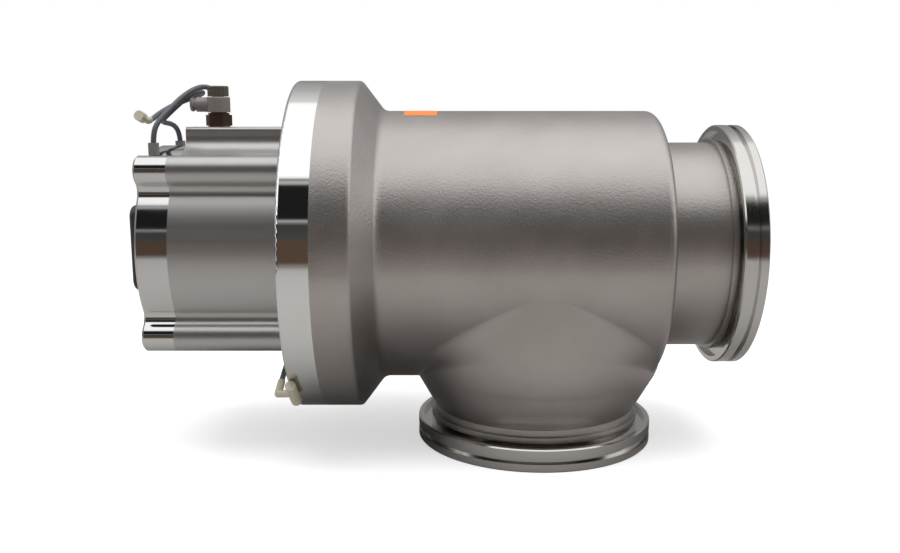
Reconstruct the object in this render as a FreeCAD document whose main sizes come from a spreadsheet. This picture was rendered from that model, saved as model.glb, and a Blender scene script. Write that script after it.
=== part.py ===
import FreeCAD, Part
import math
import os
import Sketcher

from FreeCAD import Placement, Rotation, Vector

# A right-angle vacuum valve with a pneumatic actuator, in millimetres.
# The side port looks down and its sealing face is the plane z = 0, centred on the origin.
# The main axis is level along X: the actuator at -X and the axial port at +X.
# Each piece is drawn about the main axis, with x measured from the side port's axis,
# and is then lifted by the height of the main axis.

SIZES = {
    # ports and their clamp flanges
    "port_height": 108,
    "port_reach": 108,
    "port_bore": 51,
    "flange_radius": 65,
    "flange_thickness": 12,
    "flange_chamfer": 0.6,
    "rim_groove_offset": 4.2,
    "rim_groove_width": 2.6,
    "rim_groove_depth": 2,
    "clamp_recess_radius": 62,
    "clamp_recess_depth": 2.5,
    "hub_radius": 57.5,
    "hub_length": 3.5,
    "neck_radius": 55.6,
    # cast body
    "body_radius": 72.5,
    "body_wall": 5,
    "body_end": 62.3,
    "end_wall": 5.7,
    "shoulder_fillet": 5,
    "band_radius": 88.4,
    "band_face": 112.7,
    "band_width": 18.2,
    "cone_length": 12,
    "band_fillet": 2.5,
    "cone_fillet": 5,
    "seat_radius": 57,
    "seat_rise": 1.5,
    "funnel_reach": 62,
    "funnel_side_reach": 72.1,
    "funnel_middle_reach": 64.6,
    "funnel_middle_place": 0.5,
    "funnel_shoulder_reach": 69.2,
    "funnel_shoulder_place": 0.88,
    "funnel_shoulder_share": 0.78,
    "funnel_low_reach": 66.6,
    "funnel_low_drop": 70,
    "funnel_foot_drop": 89,
    "funnel_foot_radius": 55.7,
    "passage_gap": 0.6,
    "funnel_passage_cone": 10,
    "funnel_passage_drop": 76,
    # bonnet plate and its screws
    "bonnet_thickness": 15.6,
    "bonnet_fillet": 1.6,
    "spigot_length": 4.5,
    "register_length": 2,
    "register_clearance": 0.2,
    "bonnet_screw_count": 8,
    "bonnet_screw_share": 0.37,
    "bonnet_screw_depth": 14,
    "bonnet_screw_turn": 22.5,
    "bonnet_key_share": 1.04,
    "thread_clearance": 0.05,
    "thread_run_out": 2,
    "bonnet_head_share": 0.61,
    "bonnet_head_height": 6,
    "head_clearance": 0.4,
    "bonnet_seal_offset": 3.1,
    "bonnet_seal_section": 1.5,
    "seal_clearance": 0.1,
    "channel_depth": 6,
    "channel_radius": 2,
    "channel_height": 33,
    # actuator tube and end cap
    "tube_length": 59.7,
    "tube_bore": 40,
    "tube_radius": 54,
    "lobe_rise": 5.82,
    "lobe_radius": 7.8,
    "lobe_fillet": 5,
    "lobe_count": 4,
    "rail_rise": 10,
    "rail_half_width": 10.5,
    "rail_corner": 2,
    "rail_fillet": 8,
    "rail_root": 3,
    "duct_drop": 9,
    "duct_radius": 2.5,
    "sensor_groove_radius": 2.2,
    "sensor_groove_side": 24.2,
    "sensor_groove_sink": 1.3,
    "cap_thickness": 16.5,
    "cap_chamfer": 1.2,
    "spigot_clearance": 0.05,
    "spigot_groove_offset": 1.25,
    "spigot_groove_width": 2,
    "spigot_groove_depth": 1.75,
    "cap_screw_radius": 3,
    "cap_screw_hole": 3.3,
    "cap_head_radius": 5,
    "cap_head_height": 6,
    "cap_screw_grip": 10,
    "cap_screw_key": 5,
    "vent_radius": 2,
    "spring_pocket_radius": 31,
    "spring_pocket_floor": 5.5,
    # black cover on the cap
    "cover_width": 46,
    "cover_depth": 12.4,
    "cover_corner": 6.5,
    "cover_wall": 3,
    "cover_edge": 2.5,
    "cover_screw_offset": 17,
    "cover_screw_radius": 1.5,
    "cover_head_radius": 2.8,
    "cover_head_height": 1.7,
    "cover_head_clearance": 0.2,
    "cover_screw_key": 2,
    "cover_screw_grip": 4,
    "cover_screw_count": 4,
    "cover_boss_radius": 3.8,
    "socket_share": 0.5,
    # moving stem
    "rod_radius": 8,
    "rod_neck": 6,
    "rod_clearance": 0.03,
    "rod_relief": 0.6,
    "bush_radius": 10,
    "bush_length": 11,
    "rod_seal_radius": 14,
    "rod_seal_length": 4,
    "retainer_thickness": 1.2,
    "retainer_bite": 1.2,
    "piston_gap": 1.5,
    "piston_thickness": 20,
    "piston_clearance": 0.35,
    "piston_pocket_depth": 12,
    "piston_hub_radius": 16,
    "piston_hub_relief": 8,
    "ring_clearance": 0.05,
    "ring_play": 0.05,
    "seal_ring_width": 3.4,
    "seal_ring_depth": 3.2,
    "wear_ring_width": 3,
    "wear_ring_depth": 1.8,
    "magnet_width": 2.6,
    "magnet_depth": 3,
    "ring_land": 2.4,
    "nut_flats": 19,
    "nut_height": 8,
    "rod_tail": 2,
    # disc, bellows and spring
    "disc_radius": 58,
    "disc_thickness": 9,
    "disc_gap": 0.6,
    "disc_edge": 1,
    "disc_seal_circle": 54,
    "disc_seal_section": 1.8,
    "disc_seal_edge": 1.2,
    "disc_screw_key": 6,
    "seal_seat_gap": 0.1,
    "disc_hub_radius": 22,
    "disc_hub_length": 8,
    "disc_screw_radius": 4,
    "disc_screw_length": 20,
    "disc_head_radius": 6.5,
    "disc_head_height": 5,
    "bellows_inner": 24.5,
    "bellows_outer": 37,
    "bellows_wall": 0.5,
    "bellows_folds": 16,
    "collar_bore": 20,
    "collar_radius": 33,
    "collar_length": 4,
    "collar_recess": 2,
    "end_ring_length": 3,
    "spring_radius": 26,
    "spring_wire": 4,
    "spring_turns": 5,
    "spring_end_gap": 0.1,
    # speed controller on the rail
    "fitting_place": 172.5,
    "stud_thread_radius": 4.2,
    "stud_hole_clearance": 0.1,
    "stud_thread_length": 7.5,
    "gasket_radius": 5.8,
    "gasket_thickness": 0.6,
    "stud_well_depth": 9.5,
    "stud_flats": 12.3,
    "stud_hex_height": 5.8,
    "stud_neck_radius": 5.6,
    "stud_ring_height": 3,
    "stud_ring_depth": 0.8,
    "stud_side_hole": 1.3,
    "stud_neck_height": 1.1,
    "stud_post_radius": 4.3,
    "stud_bore": 1.9,
    "elbow_radius": 6.2,
    "elbow_height": 8.2,
    "elbow_gap": 0.3,
    "elbow_roof": 1.4,
    "elbow_clearance": 0.05,
    "elbow_collar_radius": 3,
    "elbow_collar_height": 1.4,
    "elbow_edge": 0.8,
    "socket_radius": 3.9,
    "socket_reach": 11.6,
    "tube_hole": 2.05,
    "passage_radius": 1.4,
    "socket_stop": 5.2,
    "socket_chamber": 3.1,
    "socket_fit": 0.05,
    "socket_seat": 6.6,
    "socket_seal_width": 1.4,
    "collet_width": 1,
    "release_lip_radius": 3.7,
    "release_lip_width": 1.8,
    "release_travel": 1.2,
    "release_stop_gap": 0.1,
    "release_edge": 0.5,
    "knob_radius": 5.6,
    "knob_height": 5.4,
    "knob_roof": 0.5,
    "knob_edge": 0.5,
    "knob_flutes": 24,
    "knob_flute_depth": 0.3,
    "knob_gap": 0.3,
    "knob_clearance": 0.1,
    "needle_radius": 1.5,
    "needle_clearance": 0.08,
    "needle_reach": 3,
    "needle_tip": 3,
    # position sensors and their leads
    "sensor_radius": 2,
    "sensor_length": 26,
    "sensor_neck": 2.8,
    "sensor_neck_height": 2.9,
    "sensor_block_height": 6.3,
    "sensor_inset": 1.2,
    "sensor_block_length": 4.4,
    "sensor_block_width": 4.4,
    "lead_radius": 1.4,
    "connector_radius": 2.7,
    "grip_radius": 1.9,
    "lower_grip_length": 10,
    "upper_grip_length": 3.2,
}

# Route points of the two leads: x from the side port's axis, y, and height over the main axis.
FRONT_LEAD = [
    (-201.1, -24.2, 56.0),
    (-200.8, -24.1, 60.6),
    (-199.8, -22.5, 65.1),
    (-197.6, -19.0, 69.2),
    (-194.1, -14.0, 73.9),
    (-190.7, -8.5, 78.9),
    (-186.8, -2.6, 82.9),
    (-183.2, 3.6, 85.3),
    (-180.4, 10.2, 85.6),
    (-178.4, 16.2, 83.0),
    (-177.4, 20.4, 77.6),
    (-176.9, 22.4, 71.0),
    (-176.0, 23.6, 64.4),
    (-173.0, 25.2, 58.4),
    (-167.0, 27.2, 55.0),
    (-158.5, 29.0, 55.2),
    (-149.5, 32.0, 57.4),
    (-141.5, 37.5, 59.4),
    (-135.8, 45.5, 58.4),
    (-132.6, 53.6, 52.6),
    (-131.9, 59.0, 43.0),
    (-131.8, 61.5, 30.0),
    (-131.9, 62.0, 15.0),
    (-131.7, 62.6, -1.0),
    (-131.8, 61.6, -17.0),
    (-131.9, 59.0, -31.5),
    (-131.8, 54.0, -44.5),
    (-131.8, 45.0, -54.6),
    (-131.9, 32.5, -60.0),
    (-131.8, 18.0, -61.0),
    (-132.0, 3.5, -59.2),
    (-132.2, -10.5, -57.4),
    (-132.6, -23.5, -57.0),
    (-133.2, -35.0, -58.6),
    (-133.4, -43.5, -61.2),
    (-133.5, -51.0, -64.2),
]
REAR_LEAD = [
    (-201.1, 24.2, 56.0),
    (-201.3, 23.6, 60.0),
    (-201.9, 20.4, 63.6),
    (-202.6, 15.0, 65.4),
    (-203.2, 8.6, 66.0),
    (-203.2, 2.0, 66.4),
    (-202.0, -4.2, 67.2),
    (-199.2, -8.8, 69.0),
    (-195.6, -9.8, 72.0),
    (-192.4, -7.0, 75.6),
    (-189.8, -1.8, 79.0),
    (-187.6, 4.8, 81.8),
    (-186.0, 12.0, 83.0),
    (-185.6, 19.4, 83.0),
    (-188.0, 26.2, 82.2),
    (-193.8, 29.6, 80.4),
    (-199.8, 28.0, 78.0),
    (-204.2, 22.6, 75.6),
    (-206.4, 15.4, 73.2),
    (-207.4, 7.8, 71.0),
    (-207.4, 0.2, 69.2),
    (-206.6, -6.8, 68.0),
    (-206.2, -12.6, 67.6),
]

# The two ends of each connector's bar.
LOWER_BAR = [(-125.2, -55.9, -73.1), (-126.2, -67.9, -61.5)]
UPPER_BAR = [(-208.4, -15.9, 68.6), (-209.2, -20.6, 70.0)]

# Each arc of a lead, and of the spring's wire, takes this share of its shorter run.
ARC_SHARE = 0.45
WIRE_ARC_SHARE = 0.49
SPRING_STEPS = 12
HALVES = 2
OUT = "parts"
WHOLE_TURN = 360
TOLERANCE = 0.001
DOC = FreeCAD.newDocument("vacuum_angle_valve")


class Length:
    """A number and the sheet expression that gives it, so that one sum drives both."""

    def __init__(self, value, text):
        self.value = float(value)
        self.text = text

    def __float__(self):
        return self.value

    def joined(self, sign, other, value):
        return Length(value, "(%s %s %s)" % (self.text, sign, other.text))

    def __add__(self, other):
        other = length(other)
        return self.joined("+", other, self.value + other.value)

    def __sub__(self, other):
        other = length(other)
        return self.joined("-", other, self.value - other.value)

    def __mul__(self, other):
        other = length(other)
        return self.joined("*", other, self.value * other.value)

    def __truediv__(self, other):
        other = length(other)
        return self.joined("/", other, self.value / other.value)

    def __neg__(self):
        return Length(-self.value, "(0 - %s)" % self.text)

    def __radd__(self, other):
        return length(other) + self

    def __rsub__(self, other):
        return length(other) - self

    def __rmul__(self, other):
        return length(other) * self


def length(item):
    if isinstance(item, Length):
        return item
    return Length(item, repr(item))


def root(item):
    return Length(math.sqrt(item.value), "sqrt(%s)" % item.text)


class Dimensions:
    """The driving sizes by name, each tied to its cell."""

    def __getattr__(self, name):
        return Length(SIZES[name], "Sizes." + name)


D = Dimensions()

# Places along the main axis that several pieces share.
CHAMBER_RADIUS = D.body_radius - D.body_wall
CHAMBER_END = D.body_end - D.end_wall
SEAT_FACE = CHAMBER_END - D.seat_rise
PASSAGE_RADIUS = SEAT_FACE - D.passage_gap
BODY_FACE = -D.band_face
REGISTER_FACE = BODY_FACE + D.register_length
PLATE_FACE = BODY_FACE - D.bonnet_thickness
SPIGOT_FACE = PLATE_FACE - D.spigot_length
TUBE_END = PLATE_FACE - D.tube_length
CAP_SPIGOT_FACE = TUBE_END + D.spigot_length
CAP_FACE = TUBE_END - D.cap_thickness
COVER_FACE = CAP_FACE - D.cover_depth
POCKET_FLOOR = CAP_FACE + D.spring_pocket_floor
DISC_FACE = SEAT_FACE - D.disc_gap
DISC_BACK = DISC_FACE - D.disc_thickness
DISC_HUB_END = DISC_BACK - D.disc_hub_length
COLLAR_BACK = REGISTER_FACE - D.collar_recess
COLLAR_FRONT = COLLAR_BACK + D.collar_length
PISTON_FRONT = SPIGOT_FACE - D.piston_gap
PISTON_BACK = PISTON_FRONT - D.piston_thickness
PISTON_FLOOR = PISTON_BACK + D.piston_pocket_depth
HUB_BACK = PISTON_BACK + D.piston_hub_relief
PISTON_RADIUS = D.tube_bore - D.piston_clearance
SPIGOT_RADIUS = D.tube_bore - D.spigot_clearance
SCREW_DIAGONAL = D.tube_radius + D.lobe_rise
RAIL_TOP = D.tube_radius + D.rail_rise
DUCT_HEIGHT = RAIL_TOP - D.duct_drop

# The sensors lie in grooves that are sunk by a fixed depth into the tube's round side.
GROOVE_RING = D.tube_radius - D.sensor_groove_sink
GROOVE_HEIGHT = root(GROOVE_RING * GROOVE_RING - D.sensor_groove_side * D.sensor_groove_side)
BLOCK_SHELF = GROOVE_HEIGHT + D.sensor_neck_height
BLOCK_TOP = BLOCK_SHELF + D.sensor_block_height

# The bonnet screws share the ring between the seal's groove and the plate's edge.
SEAL_CIRCLE = CHAMBER_RADIUS + D.bonnet_seal_offset
SEAL_WALL = D.bonnet_seal_section + D.seal_clearance
BOLT_ROOM = (D.band_radius - SEAL_CIRCLE - SEAL_WALL) / 2
BOLT_CIRCLE = D.band_radius - BOLT_ROOM
BOLT_RADIUS = BOLT_ROOM * D.bonnet_screw_share
BOLT_HEAD = BOLT_ROOM * D.bonnet_head_share
BOLT_KEY = BOLT_HEAD * D.bonnet_key_share
LOBE_TURN = 45


def place(thing, x=0, y=0, z=0):
    """Set a piece's place, with each length tied to the sheet."""
    base = Vector(float(x), float(y), float(z))
    thing.Placement = Placement(base, thing.Placement.Rotation)
    for axis, item in (("x", x), ("y", y), ("z", z)):
        if isinstance(item, Length):
            thing.setExpression("Placement.Base." + axis, item.text)


def new_body(label, x=0, y=0, z=None):
    body = DOC.addObject("PartDesign::Body", label)
    body.Label = label
    place(body, x, y, D.port_height if z is None else z)
    return body


def origin_item(body, role):
    for item in body.Origin.OriginFeatures:
        if item.Role == role:
            return item
    raise ValueError("no origin item " + role)


def new_sketch(body, plane, offset=0, turn=None):
    """Open a sketch on one of the body's own planes, moved along the plane's normal."""
    sketch = body.newObject("Sketcher::SketchObject", body.Label + "_sketch")
    sketch.AttachmentSupport = [(origin_item(body, plane), "")]
    sketch.MapMode = "FlatFace"
    sketch.AttachmentOffset = Placement(Vector(0, 0, float(offset)), turn or Rotation())
    if isinstance(offset, Length):
        sketch.setExpression("AttachmentOffset.Base.z", offset.text)
    return sketch


def pin(sketch, kind, where, item):
    """Hold one measure of the sketch at a length, tied to the sheet."""
    item = length(item)
    if kind in ("DistanceX", "DistanceY"):
        if abs(item.value) < TOLERANCE and item.text in ("0", "0.0"):
            line = -2 if kind == "DistanceX" else -1
            sketch.addConstraint(Sketcher.Constraint("PointOnObject", where[0], where[1], line))
            return
        number = sketch.addConstraint(Sketcher.Constraint(kind, -1, 1, *where, item.value))
    else:
        number = sketch.addConstraint(Sketcher.Constraint(kind, *where, item.value))
    sketch.setExpression("Constraints[%d]" % number, item.text)


def arc_edge(start, end, radius, side):
    """An arc between two points whose centre lies left (side 1) or right (side -1) of the chord."""
    chord = end - start
    normal = Vector(-chord.y, chord.x, 0).normalize() * side
    middle = (start + end) * 0.5
    reach = math.sqrt(max(radius ** 2 - (chord.Length / 2) ** 2, 0))
    centre = middle + normal * reach
    first, last = (start, end) if side > 0 else (end, start)
    begin = math.atan2(first.y - centre.y, first.x - centre.x)
    finish = math.atan2(last.y - centre.y, last.x - centre.x)
    if finish <= begin:
        finish += 2 * math.pi
    return Part.ArcOfCircle(Part.Circle(centre, Vector(0, 0, 1), radius), begin, finish)


def outline(sketch, corners):
    """Draw a closed outline and pin each corner; a corner may carry the arc that leaves it."""
    points = [Vector(float(corner[0]), float(corner[1]), 0) for corner in corners]
    first_edge = sketch.GeometryCount
    ends = []
    for number, corner in enumerate(corners):
        start = points[number]
        end = points[(number + 1) % len(points)]
        if len(corner) > 2:
            radius, side = corner[2]
            sketch.addGeometry(arc_edge(start, end, float(radius), side))
            ends.append((1, 2) if side > 0 else (2, 1))
        else:
            sketch.addGeometry(Part.LineSegment(start, end))
            ends.append((1, 2))
    for number, corner in enumerate(corners):
        edge = first_edge + number
        after = (number + 1) % len(corners)
        joint = (edge, ends[number][1], first_edge + after, ends[after][0])
        sketch.addConstraint(Sketcher.Constraint("Coincident", *joint))
        pin(sketch, "DistanceX", (edge, ends[number][0]), corner[0])
        pin(sketch, "DistanceY", (edge, ends[number][0]), corner[1])
        if len(corner) > 2:
            pin(sketch, "Radius", (edge,), corner[2][0])
    return sketch


def circles(sketch, spots):
    """Draw full circles, each given by its centre and radius."""
    for across, up, radius in spots:
        centre = Vector(float(across), float(up), 0)
        edge = sketch.addGeometry(Part.Circle(centre, Vector(0, 0, 1), float(radius)))
        pin(sketch, "DistanceX", (edge, 3), across)
        pin(sketch, "DistanceY", (edge, 3), up)
        pin(sketch, "Radius", (edge,), radius)
    return sketch


def volume_of(body):
    DOC.recompute()
    return body.Shape.Volume if not body.Shape.isNull() else 0


def add_feature(body, kind, sketch, **settings):
    """Add a feature made from a sketch, with its sizes tied to the sheet."""
    feature = body.newObject("PartDesign::" + kind, body.Label + "_" + kind.lower())
    feature.Profile = sketch
    for name, item in settings.items():
        if isinstance(item, Length):
            setattr(feature, name, item.value)
            feature.setExpression(name, item.text)
        else:
            setattr(feature, name, item)
    sketch.Visibility = False
    return feature


def must_cut(body, before):
    """Stop if a cutting feature has taken nothing away."""
    if volume_of(body) > before - TOLERANCE:
        raise ValueError("nothing was cut from " + body.Label)


def revolve(body, corners, about="X", turn=None):
    """Turn a section about the main axis (X) or the upright axis (Z)."""
    sketch = outline(new_sketch(body, "XZ_Plane", 0, turn), corners)
    axis = "H_Axis" if about == "X" else "V_Axis"
    return add_feature(body, "Revolution", sketch, ReferenceAxis=(sketch, [axis]))


def groove(body, corners, about="X"):
    """Turn a section out of the body."""
    before = volume_of(body)
    sketch = outline(new_sketch(body, "XZ_Plane"), corners)
    axis = "H_Axis" if about == "X" else "V_Axis"
    feature = add_feature(body, "Groove", sketch, ReferenceAxis=(sketch, [axis]))
    must_cut(body, before)
    return feature


def pad(body, sketch, depth):
    """Raise a sketch along its own normal."""
    return add_feature(body, "Pad", sketch, Length=length(depth))


def pocket(body, sketch, depth):
    """Sink a sketch along its own normal."""
    before = volume_of(body)
    feature = add_feature(body, "Pocket", sketch, Length=length(depth), Reversed=True)
    must_cut(body, before)
    return feature


def repeat_about(body, features, count, axis="X_Axis"):
    """Repeat features evenly about one of the body's axes."""
    pattern = body.newObject("PartDesign::PolarPattern", body.Label + "_pattern")
    pattern.Originals = features
    pattern.Axis = (origin_item(body, axis), [""])
    pattern.Angle = WHOLE_TURN
    pattern.Occurrences = int(float(count))
    if isinstance(count, Length):
        pattern.setExpression("Occurrences", count.text)
    body.Tip = pattern
    return pattern


def ring_edges(shape, spots, axis):
    """Names of the round edges about an axis at the given places and radii."""
    names = []
    for number, edge in enumerate(shape.Edges, 1):
        curve = edge.Curve
        if curve.TypeId != "Part::GeomCircle":
            continue
        along = curve.Center.dot(axis)
        if (curve.Center - axis * along).Length > TOLERANCE:
            continue
        for spot, radius in spots:
            near = abs(along - float(spot)) < TOLERANCE
            if near and abs(curve.Radius - float(radius)) < TOLERANCE:
                names.append("Edge%d" % number)
    return names


def dress(body, kind, names, size):
    """Round or bevel named edges of the body's last feature."""
    tip = body.Tip
    feature = body.newObject("PartDesign::" + kind, body.Label + "_" + kind.lower())
    feature.Base = (tip, names)
    size_name = "Radius" if kind == "Fillet" else "Size"
    setattr(feature, size_name, float(size))
    feature.setExpression(size_name, length(size).text)
    DOC.recompute()
    return feature


def round_rings(body, spots, size, kind="Fillet", axis=Vector(1, 0, 0)):
    """Round or bevel the turned edges at the given places and radii."""
    DOC.recompute()
    names = ring_edges(body.Tip.Shape, spots, axis)
    if len(names) < len(spots):
        raise ValueError("an edge to round is missing on " + body.Label)
    return dress(body, kind, names, size)


def turned(label, corners, about="X", **where):
    """A body that is one turned section."""
    body = new_body(label, **where)
    revolve(body, corners, about)
    return body


def ring(label, start, end, inner, outer, about="X", **where):
    """A plain turned ring between two places on its axis."""
    if about == "X":
        corners = [(start, inner), (start, outer), (end, outer), (end, inner)]
    else:
        corners = [(inner, start), (outer, start), (outer, end), (inner, end)]
    return turned(label, corners, about, **where)


def port_corners():
    """Section of a port from its neck to the axis, as (distance from the crossing, radius)."""
    face = D.port_reach
    back = face - D.flange_thickness
    hub = back - D.hub_length
    floor = back + D.clamp_recess_depth
    groove_end = face - D.rim_groove_offset
    groove_start = groove_end - D.rim_groove_width
    groove_floor = D.flange_radius - D.rim_groove_depth
    bevel = D.flange_chamfer
    return [
        (hub, D.neck_radius),
        (hub, D.hub_radius),
        (floor, D.hub_radius),
        (floor, D.clamp_recess_radius),
        (back, D.clamp_recess_radius),
        (back, D.flange_radius - bevel),
        (back + bevel, D.flange_radius),
        (groove_start, D.flange_radius),
        (groove_start, groove_floor),
        (groove_end, groove_floor),
        (groove_end, D.flange_radius),
        (face - bevel, D.flange_radius),
        (face, D.flange_radius - bevel),
        (face, 0),
    ]


def oval(sketch, along, across):
    """An ellipse about the sketch's centre: half lengths along and across."""
    if abs(float(along) - float(across)) < TOLERANCE:
        return circles(sketch, [(0, 0, along)])
    centre = Vector(0, 0, 0)
    ellipse = Part.Ellipse(Vector(float(along), 0, 0), Vector(0, float(across), 0), centre)
    edge = sketch.addGeometry(ellipse)
    sketch.exposeInternalGeometry(edge)
    sketch.addConstraint(Sketcher.Constraint("Coincident", edge, 3, -1, 1))
    sketch.addConstraint(Sketcher.Constraint("PointOnObject", edge + 1, 1, -1))
    pin(sketch, "Distance", (edge + 1,), 2 * along)
    pin(sketch, "Distance", (edge + 2,), 2 * across)
    return sketch


def funnel(body):
    """Blend the round chamber into the lower neck through widening oval sections."""
    low = D.funnel_low_drop
    belly = D.funnel_side_reach
    waist = D.funnel_low_reach
    shoulder = waist + (belly - waist) * D.funnel_shoulder_share
    sections = [
        (length(0), belly, D.funnel_reach),
        (low * D.funnel_middle_place, belly, D.funnel_middle_reach),
        (low * D.funnel_shoulder_place, shoulder, D.funnel_shoulder_reach),
        (low, waist, waist),
        (D.funnel_foot_drop, D.funnel_foot_radius, D.funnel_foot_radius),
    ]
    sketches = []
    for drop, along, across in sections:
        quarter = Rotation(Vector(0, 0, 1), 90)
        sketches.append(oval(new_sketch(body, "XY_Plane", -drop, quarter), along, across))
    loft = body.newObject("PartDesign::AdditiveLoft", "valve_body_funnel")
    loft.Profile = sketches[0]
    loft.Sections = sketches[1:4]
    cone = body.newObject("PartDesign::AdditiveLoft", "valve_body_funnel_foot")
    cone.Profile = sketches[3]
    cone.Sections = sketches[4:]


def valve_body():
    """Cast body: a round chamber, two necks at a right angle and their machined flanges."""
    body = new_body("valve_body")
    band_end = BODY_FACE + D.band_width
    cone_end = band_end + D.cone_length
    revolve(body, [
        (BODY_FACE, 0),
        (BODY_FACE, D.band_radius),
        (band_end, D.band_radius),
        (cone_end, D.body_radius),
        (D.body_end, D.body_radius),
        (D.body_end, D.neck_radius),
    ] + port_corners())
    round_rings(body, [(band_end, D.band_radius)], D.band_fillet)
    round_rings(body, [(cone_end, D.body_radius)], D.cone_fillet)
    round_rings(body, [(D.body_end, D.body_radius)], D.shoulder_fillet)
    funnel(body)
    top = D.funnel_foot_drop - D.hub_length
    lower = [(radius, -along) for along, radius in port_corners()]
    revolve(body, [(0, -top), (D.neck_radius, -top)] + lower, "Z")
    groove(body, [
        (BODY_FACE, 0),
        (BODY_FACE, CHAMBER_RADIUS),
        (CHAMBER_END, CHAMBER_RADIUS),
        (CHAMBER_END, D.seat_radius),
        (SEAT_FACE, D.seat_radius),
        (SEAT_FACE, D.port_bore),
        (D.port_reach, D.port_bore),
        (D.port_reach, 0),
    ])
    passage_end = D.funnel_passage_drop
    neck_start = passage_end + D.funnel_passage_cone
    groove(body, [
        (0, -D.port_bore),
        (PASSAGE_RADIUS, -D.port_bore),
        (PASSAGE_RADIUS, -passage_end),
        (D.port_bore, -neck_start),
        (D.port_bore, -D.port_reach),
        (0, -D.port_reach),
    ], "Z")
    depth = D.bonnet_screw_depth + D.thread_run_out
    hole = BOLT_RADIUS + D.thread_clearance
    count = D.bonnet_screw_count
    screw_holes(body, BODY_FACE, BOLT_CIRCLE, hole, depth, count, D.bonnet_screw_turn)
    return body


def screw_holes(body, start, circle, radius, depth, count, turn):
    """A ring of equal holes about the main axis, sunk along +X from a place."""
    tilt = Rotation(Vector(0, 0, 1), float(turn))
    sketch = new_sketch(body, "YZ_Plane", start, tilt)
    circles(sketch, [(0, circle, radius)])
    hole = pocket(body, sketch, depth)
    repeat_about(body, [hole], count)


def bonnet_plate():
    """Turned plate that closes the body and carries the tube, the rod's bush and the bellows."""
    body = new_body("bonnet_plate")
    fit = D.register_clearance
    seal_floor = BODY_FACE - 2 * D.bonnet_seal_section
    retainer_end = SPIGOT_FACE + D.retainer_thickness
    seal_end = retainer_end + D.rod_seal_length
    bush_end = seal_end + D.bush_length
    revolve(body, [
        (SPIGOT_FACE, D.rod_seal_radius + D.retainer_bite),
        (retainer_end, D.rod_seal_radius + D.retainer_bite),
        (retainer_end, D.rod_seal_radius),
        (seal_end, D.rod_seal_radius),
        (seal_end, D.bush_radius),
        (bush_end, D.bush_radius),
        (bush_end, D.rod_radius + D.rod_relief),
        (COLLAR_BACK, D.rod_radius + D.rod_relief),
        (COLLAR_BACK, D.collar_radius + D.thread_clearance),
        (REGISTER_FACE, D.collar_radius + D.thread_clearance),
        (REGISTER_FACE, CHAMBER_RADIUS - fit),
        (BODY_FACE, CHAMBER_RADIUS - fit),
        (BODY_FACE, SEAL_CIRCLE - SEAL_WALL),
        (seal_floor, SEAL_CIRCLE - SEAL_WALL),
        (seal_floor, SEAL_CIRCLE + SEAL_WALL),
        (BODY_FACE, SEAL_CIRCLE + SEAL_WALL),
        (BODY_FACE, D.band_radius),
        (PLATE_FACE, D.band_radius),
        (PLATE_FACE, SPIGOT_RADIUS),
    ] + spigot_groove(PLATE_FACE, -1) + [
        (SPIGOT_FACE, SPIGOT_RADIUS),
    ])
    round_rings(body, [(PLATE_FACE, D.band_radius)], D.bonnet_fillet)
    head_room = D.bonnet_head_height + D.head_clearance
    head_hole = BOLT_HEAD + D.head_clearance
    shank_hole = BOLT_RADIUS + D.head_clearance
    count = D.bonnet_screw_count
    turn = D.bonnet_screw_turn
    screw_holes(body, PLATE_FACE, BOLT_CIRCLE, head_hole, head_room, count, turn)
    screw_holes(body, PLATE_FACE, BOLT_CIRCLE, shank_hole, D.bonnet_thickness, count, turn)
    hole = D.cap_screw_radius + D.thread_clearance
    grip = D.cap_screw_grip + D.thread_run_out
    screw_holes(body, PLATE_FACE, SCREW_DIAGONAL, hole, grip, D.lobe_count, length(LOBE_TURN))
    air_channel(body)
    return body


def spigot_groove(shoulder, side):
    """Corners of the seal groove round a spigot, from its shoulder outwards."""
    near = shoulder + side * D.spigot_groove_offset
    far = near + side * D.spigot_groove_width
    floor = SPIGOT_RADIUS - D.spigot_groove_depth
    return [(near, SPIGOT_RADIUS), (near, floor), (far, floor), (far, SPIGOT_RADIUS)]


def air_channel(body):
    """Drillings that lead air from the tube's duct to the plate's side of the piston."""
    depth = D.channel_depth
    duct = circles(new_sketch(body, "YZ_Plane", PLATE_FACE), [(0, DUCT_HEIGHT, D.duct_radius)])
    pocket(body, duct, depth + D.channel_radius)
    mouth = circles(new_sketch(body, "YZ_Plane", SPIGOT_FACE), [(0, D.channel_height, D.channel_radius)])
    pocket(body, mouth, D.spigot_length + depth)
    level = new_sketch(body, "XY_Plane", D.channel_height)
    cross = circles(level, [(PLATE_FACE + depth, 0, D.channel_radius)])
    pocket(body, cross, DUCT_HEIGHT - D.channel_height)


def lobed_prism(body, start, depth):
    """A round block with four lobes, and a hollow fillet on each side of every lobe."""
    core = circles(new_sketch(body, "YZ_Plane", start), [(0, 0, D.tube_radius)])
    pad(body, core, depth)
    tilt = Rotation(Vector(0, 0, 1), LOBE_TURN)
    lobe = circles(new_sketch(body, "YZ_Plane", start, tilt), [(0, SCREW_DIAGONAL, D.lobe_radius)])
    repeat_about(body, [pad(body, lobe, depth)], D.lobe_count)
    DOC.recompute()
    names = []
    for number, edge in enumerate(body.Tip.Shape.Edges, 1):
        if edge.Curve.TypeId != "Part::GeomLine":
            continue
        off_axis = Vector(0, edge.Vertexes[0].Point.y, edge.Vertexes[0].Point.z).Length
        if abs(off_axis - float(D.tube_radius)) < TOLERANCE and is_corner(edge):
            names.append("Edge%d" % number)
    dress(body, "Fillet", names, D.lobe_fillet)


def is_corner(edge):
    """True for a lengthwise edge where a lobe meets the round core."""
    point = edge.Vertexes[0].Point
    angle = math.degrees(math.atan2(point.z, point.y)) % (WHOLE_TURN / 4)
    return abs(angle - LOBE_TURN) < LOBE_TURN / 2


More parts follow.
